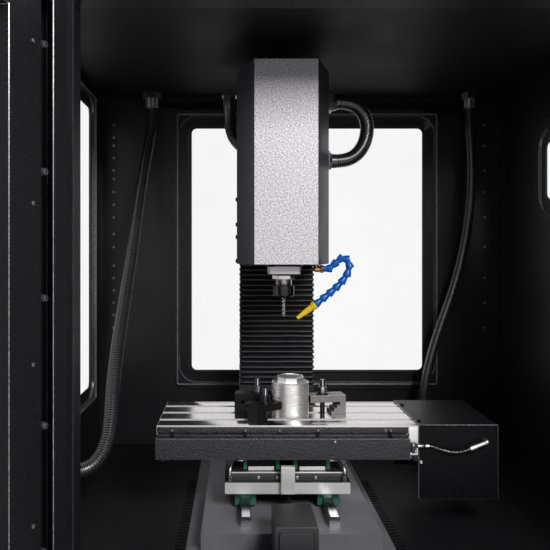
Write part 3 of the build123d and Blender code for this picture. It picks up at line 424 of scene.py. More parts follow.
@dataclass(frozen=True)
class Moulded(Finish):
    """Moulded plastic or rubber, a little cloudy, with a fine skin."""

    skin: float = 700.0
    clouds: float = 60.0
    depth: float = 0.02

    def paint(self, graph: Graph) -> None:
        """Small differences of colour and gloss.

        Args:
            graph: the material's node tree.
        """
        clouds = graph.noise(self.clouds, 3.0)
        skin = graph.noise(self.skin, 2.0)
        graph.set(
            Base_Color=graph.mix(clouds, shade(self.colour, 0.82), shade(self.colour, 1.15)),
            Roughness=(clouds * 0.16 + (self.roughness - 0.08)),
            Normal=graph.bump(skin, self.depth),
        )


@dataclass(frozen=True)
class ClearSheet(Finish):
    """Clear polycarbonate sheet with faint smears."""

    opacity: float = 0.045
    smears: float = 12.0

    def paint(self, graph: Graph) -> None:
        """Almost clear, and a little less so where it is smeared.

        Args:
            graph: the material's node tree.
        """
        smears = graph.noise(self.smears, 4.0)
        graph.set(Alpha=(smears * 0.03 + (self.opacity - 0.015)))


@dataclass(frozen=True)
class Braid(Finish):
    """Woven metal sleeve."""

    strands: float = 420.0
    depth: float = 0.5

    def paint(self, graph: Graph) -> None:
        """Crossing strands, lighter on their crowns and darker in the hollows between them: a
        painted highlight and painted shade.

        Args:
            graph: the material's node tree.
        """
        cells = graph.cells(self.strands)
        graph.set(
            Base_Color=graph.mix(cells.clamp(), shade(self.colour, 1.8), shade(self.colour, 0.3)),
            Metallic=0.9,
            Normal=graph.bump(1.0 - cells, self.depth),
        )


COAT = PowderCoat(
    "black_textured_coat", (0.006, 0.0058, 0.0067), 0.52, 0.16, grain=430.0, depth=0.25, speckle=1.8
)
SHEET_COAT = PowderCoat(
    "black_fine_coat", (0.009, 0.0085, 0.0098), 0.38, 0.3, grain=700.0, depth=0.1
)
GUARD_COAT = PowderCoat(
    "guard_coat", (0.013, 0.0126, 0.0142), 0.28, 0.5, grain=430.0, depth=1.0, speckle=3.2
)
# Darker and duller than the other black coats: painted shade for the shadow that falls on the motor
# cover.
COVER_COAT = PowderCoat(
    "motor_cover_coat", (0.004, 0.0039, 0.0046), 0.42, 0.1, grain=430.0, depth=0.3, speckle=1.8
)
# A lighter, glossier coat for broken edges and the window ridges: a painted highlight where light
# catches them.
PAINTED_HIGHLIGHT_COAT = PowderCoat("rubbed_edge_coat", (0.09, 0.088, 0.095), 0.3, 0.9, grain=300.0, speckle=2.6)
# Light grey on the head cover's front, where its cheeks are black: partly a silver-grey finish,
# partly a painted sheen of the front lamp.
HEAD_FRONT = PowderCoat(
    "grained_head_coat", (0.47, 0.455, 0.475), 0.36, 0.5, grain=430.0, depth=0.7, speckle=1.9,
    wear=0.0,
)
HEAD_SIDE = PowderCoat("dark_head_coat", (0.02, 0.0195, 0.024), 0.42, 0.5, grain=600.0, depth=0.15)
CAST = Casting("black_casting", (0.02, 0.02, 0.022), 0.5, 0.4)
BASE_CAST = Casting("grey_base_casting", (0.14, 0.14, 0.155), 0.5, 0.4)
PANE = ClearSheet("clear_sheet", (0.5, 0.52, 0.54), 0.05)
TABLE_STEEL = GroundMetal("ground_table", (0.66, 0.645, 0.65), 0.2, stain=0.12)
EDGE_STEEL = GroundMetal("bright_edge", (0.9, 0.89, 0.88), 0.34, metallic=0.5)
RAIL_STEEL = GroundMetal("ground_rail", (0.6, 0.6, 0.62), 0.25)
SCREW_STEEL = TurnedMetal("rolled_screw", (0.6, 0.6, 0.61), 0.3)
SPINDLE_STEEL = TurnedMetal("turned_spindle", (0.62, 0.58, 0.56), 0.25, rings=500.0)
NUT_STEEL = TurnedMetal("black_nut", (0.05, 0.048, 0.05), 0.24, rings=400.0)
FLANGE = GroundMetal("flange_metal", (0.42, 0.41, 0.43), 0.5)
WORK = TurnedMetal(
    "turned_aluminium", (0.97, 0.96, 0.95), 0.34, rings=350.0, depth=0.03, metallic=0.85
)
BLACK_OXIDE = GroundMetal("black_oxide", (0.007, 0.0067, 0.0075), 0.42, 0.14, metallic=0.0)
STRAP_METAL = GroundMetal("worn_strap", (0.21, 0.2, 0.195), 0.42, metallic=0.5, stain=0.7)
STUD = GroundMetal("machined_stud", (0.07, 0.068, 0.072), 0.3, along=Along.Z)
CARBIDE = GroundMetal("tool_metal", (0.34, 0.34, 0.35), 0.22, along=Along.Z)
BRASS = TurnedMetal("turned_brass", (0.8, 0.48, 0.14), 0.3)
MOTOR = Moulded("black_motor_coat", (0.02, 0.02, 0.022), 0.45)
HANDLE = GroundMetal("dark_handle", (0.16, 0.16, 0.17), 0.4, along=Along.Z)
GREEN = Moulded("green_cap", (0.026, 0.13, 0.075), 0.4)
PLEAT = Moulded("pleated_rubber", (0.011, 0.0105, 0.0125), 0.45, 0.45, skin=1500.0)
CONDUIT = Moulded("conduit_black", (0.02, 0.0195, 0.0215), 0.3, 0.85)
FITTING = Moulded("black_fitting_plastic", (0.015, 0.015, 0.016), 0.34, 0.5)
BLUE = Moulded("blue_link_plastic", (0.001, 0.1, 0.5), 0.24, 0.25)
YELLOW = Moulded("yellow_nozzle_plastic", (0.95, 0.56, 0.012), 0.28, 0.3)
RUBBER = Moulded("black_foot_rubber", (0.02, 0.02, 0.02), 0.7)
GASKET = Moulded("gasket_rubber", (0.008, 0.008, 0.009), 0.5, 0.4)
BOLT = GroundMetal("bolt_black", (0.2, 0.2, 0.21), 0.32, metallic=0.8)
BRIGHT_BOLT = GroundMetal("bolt_zinc", (0.6, 0.6, 0.61), 0.3)
PIPE = GroundMetal("drawn_pipe", (0.72, 0.7, 0.68), 0.25)
CABLE = Braid("braided_cable", (0.09, 0.088, 0.092), 0.3)

NODE_FINISHES: dict[str, Finish] = {
    "base_cabinet": COAT, "feet": RUBBER, "left_wall": SHEET_COAT, "right_wall": SHEET_COAT,
    "back_wall": SHEET_COAT, "roof": COAT, "front_frame": COAT, "left_window": PANE,
    "right_window": PANE, "back_window": PANE, "left_door": COAT, "right_door": COAT,
    "left_door_window": PANE, "right_door_window": PANE, "left_door_handle": HANDLE,
    "right_door_handle": HANDLE, "machine_base": BASE_CAST, "column": CAST, "y_rails": RAIL_STEEL,
    "linear_carriages": BLACK_OXIDE, "carriage_caps": GREEN, "y_screw": SCREW_STEEL,
    "y_motor": MOTOR, "saddle": CAST, "x_rails": RAIL_STEEL, "x_screw": SCREW_STEEL,
    "x_motor": MOTOR, "x_motor_cover": COVER_COAT, "table": TABLE_STEEL, "table_guard": GUARD_COAT,
    "trip_dogs": BLACK_OXIDE, "limit_switch": FITTING, "workpiece": WORK,
    "step_clamps": BLACK_OXIDE, "clamp_studs": STUD, "z_rails": RAIL_STEEL,
    "z_carriages": BLACK_OXIDE,
    "z_screw": SCREW_STEEL, "z_motor": MOTOR, "z_bellows": PLEAT, "head_casting": CAST,
    "head_cover": HEAD_SIDE, "spindle_housing": FLANGE, "spindle_shaft": SPINDLE_STEEL,
    "collet_nut": NUT_STEEL, "end_mill": CARBIDE, "spindle_motor": MOTOR,
    "coolant_elbow": BRASS, "coolant_hose_base": BLUE, "coolant_hose_end": BLUE,
    "coolant_nozzle": YELLOW, "oil_pipes": PIPE, "left_wall_conduit": CONDUIT,
    "right_wall_conduit": CONDUIT, "right_head_conduit": CONDUIT, "left_head_conduit": CONDUIT,
    "wall_conduit_fittings": FITTING, "head_conduit_fittings": FITTING, "switch_cable": CABLE,
    "cable_plug": BRIGHT_BOLT,
}


class Piece:
    """One mesh on the bench, worked by hand: pick by a test, then use an edit operator."""

    def __init__(self, thing: bpy.types.Object, name: str) -> None:
        """Takes a new object and names it and its mesh.

        Args:
            thing: the object.
            name: the piece's name.
        """
        self.thing = thing
        thing.name = name
        thing.data.name = name

    @staticmethod
    def rest() -> None:
        """Leaves edit mode and deselects everything."""
        if bpy.context.mode != "OBJECT":
            bpy.ops.object.mode_set(mode="OBJECT")
        bpy.ops.object.select_all(action="DESELECT")

    @classmethod
    def ring(cls, name: str, radius: float, corners: int) -> Piece:
        """A flat ring of edges about the origin, the start of a turned piece.

        Args:
            name: the piece's name.
            radius: millimetres.
            corners: how many corners the ring has.

        Returns:
            The piece.
        """
        cls.rest()
        bpy.ops.mesh.primitive_circle_add(vertices=corners, radius=radius * MM)
        return cls(bpy.context.object, name)

    @classmethod
    def block(cls, name: str, low: Sequence[float], high: Sequence[float]) -> Piece:
        """A block between two corners, the start of a shaped piece.

        Args:
            name: the piece's name.
            low: lowest corner, millimetres.
            high: highest corner, millimetres.

        Returns:
            The piece.
        """
        cls.rest()
        lowest, highest = Vector(low), Vector(high)
        bpy.ops.mesh.primitive_cube_add(size=1.0)
        made = cls(bpy.context.object, name)
        size = Matrix.Diagonal((*((highest - lowest) * MM), 1.0))
        return made.place(Matrix.Translation((lowest + highest) / 2 * MM) @ size)

    @classmethod
    def lofted(
        cls, name: str, rings: Sequence[Sequence[Vector]], closed: bool = True
    ) -> Piece:
        """A skin over outlines of as many points each.

        Args:
            name: the piece's name.
            rings: the outlines, millimetres.
            closed: whether each outline closes and both ends are filled.

        Returns:
            The piece.
        """
        cls.rest()
        count = len(rings[0])
        faces = []
        for level in range(len(rings) - 1):
            for place in range(count if closed else count - 1):
                after = (place + 1) % count
                low, high = level * count, (level + 1) * count
                faces.append((low + place, low + after, high + after, high + place))
        if closed:
            faces.append(tuple(reversed(range(count))))
            faces.append(tuple(range((len(rings) - 1) * count, len(rings) * count)))
        mesh = bpy.data.meshes.new(name)
        mesh.from_pydata([point * MM for ring in rings for point in ring], [], faces)
        thing = bpy.data.objects.new(name, mesh)
        bpy.context.scene.collection.objects.link(thing)
        return cls(thing, name)

    @classmethod
    def copy_of(cls, name: str, node: str) -> Piece:
        """A merged copy of a node's mesh, with its flat faces whole again.

        Args:
            name: the copy's name.
            node: the node.

        Returns:
            The piece.
        """
        cls.rest()
        thing = bpy.data.objects.new(name, bpy.data.objects[node].data.copy())
        bpy.context.scene.collection.objects.link(thing)
        made = cls(thing, name)
        made.pick(lambda spot, normal: True).edit("remove_doubles", threshold=0.002 * MM)
        made.edit("dissolve_limited", angle_limit=math.radians(1.0))
        return made

    @classmethod
    def joined(cls, name: str, pieces: Sequence[Piece]) -> Piece:
        """Joins pieces into the first of them.

        Args:
            name: the whole's name.
            pieces: the pieces.

        Returns:
            The whole.
        """
        cls.rest()
        for piece in pieces:
            piece.thing.select_set(True)
        bpy.context.view_layer.objects.active = pieces[0].thing
        bpy.ops.object.join()
        return cls(bpy.context.view_layer.objects.active, name)

    def softened(self, width: float, angle: float = 40.0, steps: int = 1) -> Piece:
        """Breaks the sharp edges, and shades only what is really curved smooth.

        Args:
            width: of the broken edge, millimetres.
            angle: degrees from which an edge is sharp.
            steps: faces across the broken edge.

        Returns:
            The piece.
        """
        self.modify(
            "BEVEL", width=width * MM, segments=steps, limit_method="ANGLE",
            angle_limit=math.radians(angle), use_clamp_overlap=True, harden_normals=False,
        )
        return self.smooth(SHARP_TURN if steps == 1 else SHARP_STEP)

    def _alone(self) -> None:
        """Leaves edit mode and selects this piece alone."""
        self.rest()
        self.thing.select_set(True)
        bpy.context.view_layer.objects.active = self.thing

    def _edit_mode(self) -> None:
        """Opens this piece alone in edit mode."""
        if bpy.context.mode != "OBJECT" and bpy.context.object is self.thing:
            return
        self._alone()
        bpy.ops.object.mode_set(mode="EDIT")

    def place(self, matrix: Matrix) -> Piece:
        """Moves the mesh.

        Args:
            matrix: the move, metres.

        Returns:
            The piece.
        """
        if bpy.context.mode != "OBJECT":
            bpy.ops.object.mode_set(mode="OBJECT")
        self.thing.data.transform(matrix)
        self.thing.data.update()
        return self

    def pick(self, test: Callable[[Vector, Vector], bool]) -> Piece:
        """Selects the faces that pass a test.

        Args:
            test: takes a face's centre, in millimetres, and its normal.

        Returns:
            The piece.
        """
        self._edit_mode()
        bpy.ops.mesh.select_mode(type="FACE")
        mesh = bmesh.from_edit_mesh(self.thing.data)
        for face in mesh.faces:
            face.select = test(face.calc_center_median() / MM, face.normal)
        mesh.select_flush_mode()
        bmesh.update_edit_mesh(self.thing.data)
        return self

    def pick_edges(self, test: Callable[[Vector, Vector], bool]) -> Piece:
        """Selects the edges that pass a test.

        Args:
            test: takes an edge's two ends, in millimetres.

        Returns:
            The piece.
        """
        self._edit_mode()
        bpy.ops.mesh.select_mode(type="EDGE")
        mesh = bmesh.from_edit_mesh(self.thing.data)
        for edge in mesh.edges:
            first, second = edge.verts
            edge.select = test(first.co / MM, second.co / MM)
        mesh.select_flush_mode()
        bmesh.update_edit_mesh(self.thing.data)
        return self

    def edit(self, operator: str, **settings: Any) -> Piece:
        """Runs one mesh operator on what is picked.

        Args:
            operator: its name.
            settings: its settings.

        Returns:
            The piece.
        """
        self._edit_mode()
        getattr(bpy.ops.mesh, operator)(**settings)
        return self

    def scale(self, factors: Point, about: Sequence[float]) -> Piece:
        """Scales what is picked.

        Args:
            factors: along X, Y and Z.
            about: the point that stays, millimetres.

        Returns:
            The piece.
        """
        self._edit_mode()
        bpy.ops.transform.resize(value=factors, center_override=Vector(about) * MM)
        return self

    def turned(self, profile: Sequence[tuple[float, float]], closed: bool = True) -> Piece:
        """Draws a ring out along +Z through a profile.

        Args:
            profile: radius and height of each further step, millimetres.
            closed: whether both ends are filled.

        Returns:
            The piece.
        """
        self._edit_mode()
        bpy.ops.mesh.select_mode(type="EDGE")
        bpy.ops.mesh.select_all(action="SELECT")
        ring = self.thing.data.vertices[0].co.copy()
        radius, height = math.hypot(ring.x, ring.y) / MM, ring.z / MM
        if closed:
            bpy.ops.mesh.edge_face_add()
        for wanted, level in profile:
            bpy.ops.mesh.extrude_region_move(
                TRANSFORM_OT_translate={"value": (0, 0, (level - height) * MM)}
            )
            self.scale((wanted / radius, wanted / radius, 1.0), (0, 0, level))
            radius, height = wanted, level
        if not closed:
            return self
        bpy.ops.mesh.select_all(action="SELECT")
        bpy.ops.mesh.normals_make_consistent(inside=False)
        return self

    def modify(self, kind: str, **settings: Any) -> Piece:
        """Adds a modifier and applies it.

        Args:
            kind: the modifier's type.
            settings: its settings.

        Returns:
            The piece.
        """
        self._alone()
        modifier = self.thing.modifiers.new(kind.lower(), kind)
        for name, value in settings.items():
            setattr(modifier, name, value)
        bpy.ops.object.modifier_apply(modifier=modifier.name)
        return self

    def smooth(self, angle: float = 35.0) -> Piece:
        """Shades faces smooth.

        Args:
            angle: degrees from which an edge stays sharp.

        Returns:
            The piece.
        """
        self._alone()
        bpy.ops.object.shade_smooth_by_angle(angle=math.radians(angle))
        return self

    def repeat(self, places: Iterable[Matrix]) -> Piece:
        """Copies the piece to each place and joins the copies into one piece.

        Args:
            places: where the copies go, metres.

        Returns:
            The piece.
        """
        self.rest()
        source = self.thing.data
        name = self.thing.name
        copies = []
        for place in places:
            mesh = source.copy()
            mesh.transform(place)
            copy = bpy.data.objects.new(f"{name}_copy", mesh)
            bpy.context.scene.collection.objects.link(copy)
            copies.append(copy)
        bpy.data.objects.remove(self.thing)
        for copy in copies:
            copy.select_set(True)
        bpy.context.view_layer.objects.active = copies[0]
        if len(copies) > 1:
            bpy.ops.object.join()
        self.thing = bpy.context.view_layer.objects.active
        self.thing.name = name
        self.thing.data.name = name
        return self

    def second(self, finish: Finish, test: Callable[[Vector, Vector], bool]) -> Piece:
        """Gives some faces a second finish.

        Args:
            finish: what covers them.
            test: takes a face's centre, in millimetres, and its normal.

        Returns:
            The piece.
        """
        self.rest()
        mesh = self.thing.data
        mesh.materials.append(finish.material())
        for face in mesh.polygons:
            if test(face.center / MM, face.normal):
                face.material_index = 1
        return self

    def dress(self, finish: Finish, body: str, *nodes: str, slot: Optional[str] = None) -> Piece:
        """Gives the piece its finish and its body.

        Args:
            finish: what covers it.
            body: the body that it moves with.
            nodes: the nodes that it stands for.
            slot: the record's material slot; not used.

        Returns:
            The piece.
        """
        self.rest()
        self.thing.data.materials.clear()
        self.thing.data.materials.append(finish.material())
        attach(self.thing, body)
        if nodes:
            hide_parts(*nodes)
        LOG.info("%s on %s, %d faces", self.thing.name, body, len(self.thing.data.polygons))
        return self


def facing(spot: Sequence[float], towards: Sequence[float], turn: float = 0.0) -> Matrix:
    """A place in metres whose +Z looks along a direction.

    Args:
        spot: millimetres.
        towards: the direction.
        turn: degrees about it.

    Returns:
        The matrix.
    """
    look = Vector(towards).to_track_quat("Z", "Y").to_matrix().to_4x4()
    turned = Matrix.Rotation(math.radians(turn), 4, "Z")
    return Matrix.Translation(Vector(spot) * MM) @ look @ turned


def at_spindle(x: float, y: float, z: float) -> Vector:
    """A point given from the spindle axis, millimetres."""
    return SPINDLE + Vector((x, y, z))


def points_round(place: Matrix, radius: float, corners: int) -> list[Vector]:
    """Points round a place's +Z, millimetres."""
    step = math.tau / corners
    return [
        place @ Vector((radius * math.cos(step * k), radius * math.sin(step * k), 0))
        for k in range(corners)
    ]


def off_axis(normal: Vector) -> bool:
    """Whether a normal runs along none of the axes."""
    return max(map(abs, normal)) < SQUARE


class Route:
    """A smooth line through points, walked by its length in millimetres."""

    def __init__(self, points: Sequence[Sequence[float]]) -> None:
        """Reads the line from a spline.

        Args:
            points: the spline's points, millimetres.
        """
        Piece.rest()
        line = bpy.data.curves.new("route", "CURVE")
        line.dimensions = "3D"
        spline = line.splines.new("NURBS")
        spline.points.add(len(points) - 1)
        for place, spot in zip(spline.points, points):
            place.co = (*(Vector(spot) * MM), 1.0)
        spline.order_u = 3
        spline.use_endpoint_u = True
        spline.resolution_u = 16
        thing = bpy.data.objects.new("route", line)
        mesh = bpy.data.meshes.new_from_object(thing)
        self.spots = [vertex.co / MM for vertex in mesh.vertices]
        bpy.data.objects.remove(thing)
        bpy.data.curves.remove(line)
        bpy.data.meshes.remove(mesh)
        self.marks = [0.0]
        for first, second in zip(self.spots, self.spots[1:]):
            self.marks.append(self.marks[-1] + (second - first).length)

    @property
    def length(self) -> float:
        """The line's length."""
        return self.marks[-1]

    def walk(self, steps: Sequence[float]) -> list[Matrix]:
        """Places along the line whose +Z runs on along it, without twist.

        Args:
            steps: rising distances from the start, millimetres.

        Returns:
            A place for each step.
        """
        places: list[Matrix] = []
        at = 0
        side: Optional[Vector] = None
        for step in steps:
            while at < len(self.marks) - 2 and self.marks[at + 1] < step:
                at += 1
            span = self.marks[at + 1] - self.marks[at]
            share = (step - self.marks[at]) / span
            spot = self.spots[at].lerp(self.spots[at + 1], share)
            ahead = (self.spots[at + 1] - self.spots[at]).normalized()
            goes_on = at + 2 < len(self.spots)
            after = (self.spots[at + 2] - self.spots[at + 1]).normalized() if goes_on else ahead
            before = (self.spots[at] - self.spots[at - 1]).normalized() if at else ahead
            leaving, coming = before.lerp(ahead, 0.5 + share / 2), ahead.lerp(after, share / 2)
            ahead = (leaving + coming).normalized()
            side = ahead.orthogonal() if side is None else side - ahead * side.dot(ahead)
            side.normalize()
            frame = Matrix((side, ahead.cross(side), ahead)).transposed().to_4x4()
            places.append(Matrix.Translation(spot) @ frame)
        return places


@dataclass
class Conduit:
    """A ribbed hose or cable from one fitting to another."""

    name: str
    body: str
    points: list[Point]
    radius: float
    length: float
    diameter: float
    pitch: float = 4.0
    depth: float = 1.5
    corners: int = 20
    cuff: float = 6.0
    rib: tuple[tuple[float, float], ...] = ((0.06, 1.0), (0.38, 1.0), (0.52, 0.0), (0.92, 0.0))
    finish: Finish = field(default_factory=lambda: CONDUIT)
    stiffness: str = "medium"
    far_end: str = "object"
    lay: str = "loose"
    on_it: tuple[str, ...] = ()

    def build(self) -> None:
        route = Route(self.points)
        ribs = int((route.length - 2 * self.cuff) / self.pitch)
        start = (route.length - ribs * self.pitch) / 2
        steps = [(0.0, self.radius), (start * 0.9, self.radius)]
        for count in range(ribs):
            for share, drop in self.rib:
                step = start + (count + share) * self.pitch
                steps.append((step, self.radius - drop * self.depth))
        steps += [(route.length - start * 0.9, self.radius), (route.length, self.radius)]
        rings = [
            points_round(place, radius, self.corners)
            for place, (_, radius) in zip(route.walk([step for step, _ in steps]), steps)
        ]
        hose = Piece.lofted(self.name + "_ribs", rings).smooth(50)
        hose.dress(self.finish, self.body, self.name)
        LOG.info("%s is %.0f mm long", self.name, route.length)


@dataclass
class Wiring:
    """The four conduits and the table's switch cable."""

    left_wall: list[Point] = field(
        default_factory=lambda: [
            (-321.5, 451.6, 845), (-321.5, 451.6, 812), (-325, 444, 772), (-333, 425, 712),
            (-338.5, 399, 652), (-341.5, 369, 594), (-344, 337, 536), (-347, 301, 480),
            (-349, 263, 426), (-350.5, 221, 372), (-350, 180, 316), (-346, 142, 266),
            (-346.5, 112, 229), (-358, 84, 204), (-381, 68, 196), (-408, 68, 196),
        ]
    )
    right_wall: list[Point] = field(
        default_factory=lambda: [
            (364, 451.6, 845), (364, 451.6, 812), (367.5, 451, 766), (368.8, 450, 708),
            (366, 448, 650), (359, 446, 592), (348, 443, 536), (333.5, 439, 482),
            (315, 433, 430), (294, 427, 378), (274.5, 420.5, 324), (260, 415, 270),
            (251.5, 411, 216), (249, 409, 166), (249, 409, 140),
        ]
    )
    right_head: list[Point] = field(
        default_factory=lambda: [
            (101, 94, 806), (124, 94, 806), (145.5, 94.8, 794.5), (156.8, 95.6, 774),
            (157.4, 95.2, 750), (150.5, 94.6, 727), (135, 94.2, 708), (113, 94, 700), (92, 94, 700),
        ]
    )
    left_head: list[Point] = field(
        default_factory=lambda: [
            (-92, 150, 829), (-92, 150, 815), (-92, 156, 799), (-91.5, 168, 784),
            (-88, 182, 768), (-81, 190, 753), (-70, 191, 742), (-58, 190, 738), (-48, 190, 738),
        ]
    )
    switch: list[Point] = field(
        default_factory=lambda: [
            (210, -81, 242.6), (219, -81, 242.6), (230, -82.6, 238.2), (243, -84.8, 235),
            (256, -86.2, 234.4), (267, -87, 236.6), (275, -87.2, 240),
        ]
    )
    wall_shift: float = -0.96
    wall_pitch: float = 4.4
    head_pitch: float = 3.6

    def build(self) -> None:
        """Adds each of them."""
        for name, points, radius, length in (
            ("left_wall_conduit", self.left_wall, 12.0, 809.0),
            ("right_wall_conduit", self.right_wall, 10.0, 723.0),
        ):
            moved = [(x, y + self.wall_shift, z) for x, y, z in points]
            Conduit(
                name, "frame", moved, radius, length, 2 * radius, pitch=self.wall_pitch
            ).build()
        for name, points, radius, length, told in (
            ("right_head_conduit", self.right_head, 12.5, 185.0, 25.0),
            ("left_head_conduit", self.left_head, 11.4, 127.0, 21.0),
        ):
            moved = [tuple(at_spindle(*spot)) for spot in points]
            Conduit(name, "head", moved, radius, length, told, pitch=self.head_pitch).build()
        moved = [tuple(at_spindle(*spot)) for spot in self.switch]
        Conduit(
            "switch_cable", "table", moved, 2.5, 67.0, 5.0, pitch=1.7, depth=0.55, corners=14,
            cuff=2.0, finish=CABLE, on_it=("cable_plug_finished",),
        ).build()


@dataclass
class WayCover:
    """The pleated rubber cover in front of the column."""

    low: float = 277.0
    high: float = 517.0
    half_width: float = 73.0
    front: float = 184.0
    back: float = 222.0
    depth: float = 7.0
    pleats: int = 24
    columns: int = 22
    corner: float = 3.0
    keep: float = 0.608
    thickness: float = 1.0
    seed: int = 11
    fold: tuple[tuple[float, float], ...] = (
        (0.10, 0.72), (0.2, 0.34), (0.32, 0.1), (0.46, 0.0), (0.6, 0.06), (0.74, 0.3),
        (0.86, 0.66), (0.97, 1.0),
    )

    def _outline(self, drop: float, height: float, phase: float, sway: float) -> list[Vector]:
        """One outline of the cover, open at the back.

        Args:
            drop: how far it lies inside the cover's widest outline.
            height: its height.
            phase: where its wave starts.
            sway: how far it waves up and down.

        Returns:
            The points.
        """
        half, near = self.half_width - drop * 0.3, self.front + drop
        plan = [(-half, self.back), (-half, (self.back + near) / 2), (-half, near + self.corner)]
        plan += [(-half + self.corner * 0.3, near + self.corner * 0.3)]
        for column in range(self.columns + 1):
            share = column / self.columns
            plan.append((-half + self.corner + share * 2 * (half - self.corner), near))
        plan += [(half - self.corner * 0.3, near + self.corner * 0.3)]
        plan += [(half, near + self.corner), (half, (self.back + near) / 2), (half, self.back)]
        points = []
        for x, y in plan:
            long_wave, short_wave = math.sin(x * 0.055 + phase), math.sin(x * 0.13 + phase * 2.7)
            lift = sway * long_wave + sway * 0.5 * short_wave
            level = min(max(height + lift, self.low), self.high)
            points.append(at_spindle(x, y, level))
        return points

    def build(self) -> None:
        """Folds each pleat a little differently."""
        chance = random.Random(self.seed)
        pitch = (self.high - self.low) / self.pleats
        rings = [self._outline(self.depth, self.low, 0.0, 0.0)]
        for pleat in range(self.pleats):
            swell = chance.uniform(0.0, 1.8)
            phase, sway = chance.uniform(0, 6.3), chance.uniform(0.05, 0.4)
            lift = chance.uniform(-0.7, 0.7)
            for share, drop in self.fold:
                crest = math.sin(share * math.pi)
                level = self.low + (pleat + share) * pitch + lift * crest
                inward = swell * (1 - drop) + drop * self.depth
                rings.append(self._outline(inward, level, phase, sway * crest))
        rings.append(self._outline(self.depth, self.high, 0.0, 0.0))
        cover = Piece.lofted("way_cover_pleats", rings, closed=False)
        cover.modify("SOLIDIFY", thickness=self.thickness * MM, offset=-1.0)
        cover.smooth(60).dress(PLEAT, "frame", "z_bellows", slot="bellows_rubber")
        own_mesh(cover.thing)


@dataclass
class CoolantHose:
    """Brass elbow, jointed hose and nozzle."""

    balls: list[Point] = field(
        default_factory=lambda: [
            (66.9, 4, 509), (76, 4, 509.8), (85.5, 4, 518.2), (95.5, 4.2, 526.5),
            (104.5, 4.6, 525), (109.5, 5, 513.5), (105.5, 5.6, 500), (97.5, 6.4, 488.5),
            (88, 7.2, 478.5), (77.5, 8.1, 469.2), (67, 9, 460.5), (56, 10, 451.5),
        ]
    )
    tip: Point = (23.7, 13.0, 426.4)
    bend_ball: int = 5
    skirt: float = 7.0
    neck: float = 4.6
    ball: float = 5.0
    elbow: Point = (53.9, 4.0, 509.0)
    arm: float = 5.4
    reach: float = 6.0
    nut: float = 6.9
    nut_outline: tuple[tuple[float, float], ...] = ((7.4, 0.8), (7.4, 4.6), (6.9, 5.4))
    bore: float = 0.6
    turns: tuple[float, ...] = (0.3, 0.6, 0.9, 1.2, 1.57)
    corners: int = 24

    def _link(self, name: str, start: Vector, end: Vector) -> Piece:
        """One link from ball to ball: a wide socket, a waist and the next ball.

        Args:
            name: the link's name.
            start: the ball that it holds.
            end: the ball that it carries.

        Returns:
            The piece, in place.
        """
        run = (end - start).length
        wide, waist = self.skirt, self.neck
        link = Piece.ring(name, wide - 1.3, self.corners)
        link.place(Matrix.Translation((0, 0, -3.5 * MM)))
        link.turned(
            [
                (wide - 0.2, -3.4), (wide, -2.8), (wide - 0.2, -0.5), (wide - 0.9, 2.4),
                (waist + 0.7, 5.4), (waist, 6.8), (waist, run - 3.4), (self.ball, run - 1.4),
                (self.ball, run + 0.8), (waist - 0.8, run + 2.4),
            ]
        )
        return link.place(facing(start, end - start)).smooth(40)

    def _elbow(self) -> None:
        """Turns both arms of the elbow, its nut and its bend."""
        corner = at_spindle(*self.elbow)
        up = Piece.ring("elbow_up", self.arm, self.corners)
        up.turned([(self.arm, 2.0), (self.arm - 0.5, 3.0), (self.arm - 0.5, 7.8)])
        up.place(facing(corner, (0, 0, 1))).smooth()
        along = Piece.ring("elbow_arm", self.arm - 0.2, self.corners)
        thin = self.arm - 1.0
        along.turned([(self.arm, 1.0), (self.arm, 4.5), (thin, 5.2), (thin, self.reach)])
        along.place(facing(corner, (1, 0, 0))).smooth()
        nut = Piece.ring("elbow_nut", self.nut, 6).turned(self.nut_outline)
        nut.place(facing(corner + Vector((self.reach, 0, 0)), (1, 0, 0), 30)).smooth(20)
        bend = Piece.ring("elbow_bend", self.bore, self.corners)
        steps = [(self.arm * math.sin(turn), -self.arm * math.cos(turn)) for turn in self.turns]
        bend.place(Matrix.Translation((0, 0, -self.arm * MM)))
        bend.turned(steps + [(r, -z) for r, z in reversed(steps[:-1])] + [(self.bore, self.arm)])
        bend.place(Matrix.Translation(corner * MM)).smooth()
        whole = Piece.joined("elbow_brass", [up, along, nut, bend])
        whole.dress(BRASS, "head", "coolant_elbow", slot="brass")

    def build(self) -> None:
        """Builds the elbow, both runs of links and the nozzle."""
        self._elbow()
        spots = [at_spindle(*ball) for ball in self.balls]
        for name, node, body, first, last in (
            ("hose_base_links", "coolant_hose_base", "hose_base", 0, self.bend_ball),
            ("hose_end_links", "coolant_hose_end", "hose_end", self.bend_ball, len(spots) - 1),
        ):
            links = [
                self._link(f"{name}_{k}", spots[k + 1], spots[k]) for k in range(first, last)
            ]
            Piece.joined(name, links).dress(BLUE, body, node, slot="hose_blue")
        ball, tip = spots[-1], at_spindle(*self.tip)
        run = (tip - ball).length
        nozzle = Piece.ring("nozzle_body", self.neck - 1.0, self.corners)
        nozzle.place(Matrix.Translation((0, 0, -2.0 * MM)))
        nozzle.turned(
            [
                (self.ball, 0.0), (self.ball, 2.0), (self.skirt + 0.1, 3.2),
                (self.skirt + 0.2, 7.2), (self.skirt - 0.8, 9.0), (5.5, 10.4),
                (4.9, run * 0.55), (3.9, run * 0.75),
                (3.3, run - 0.6), (3.0, run), (2.2, run), (2.0, run - 5.0),
            ]
        )
        nozzle.place(facing(ball, tip - ball)).smooth(40)
        nozzle.dress(YELLOW, "nozzle", "coolant_nozzle", slot="nozzle_yellow")


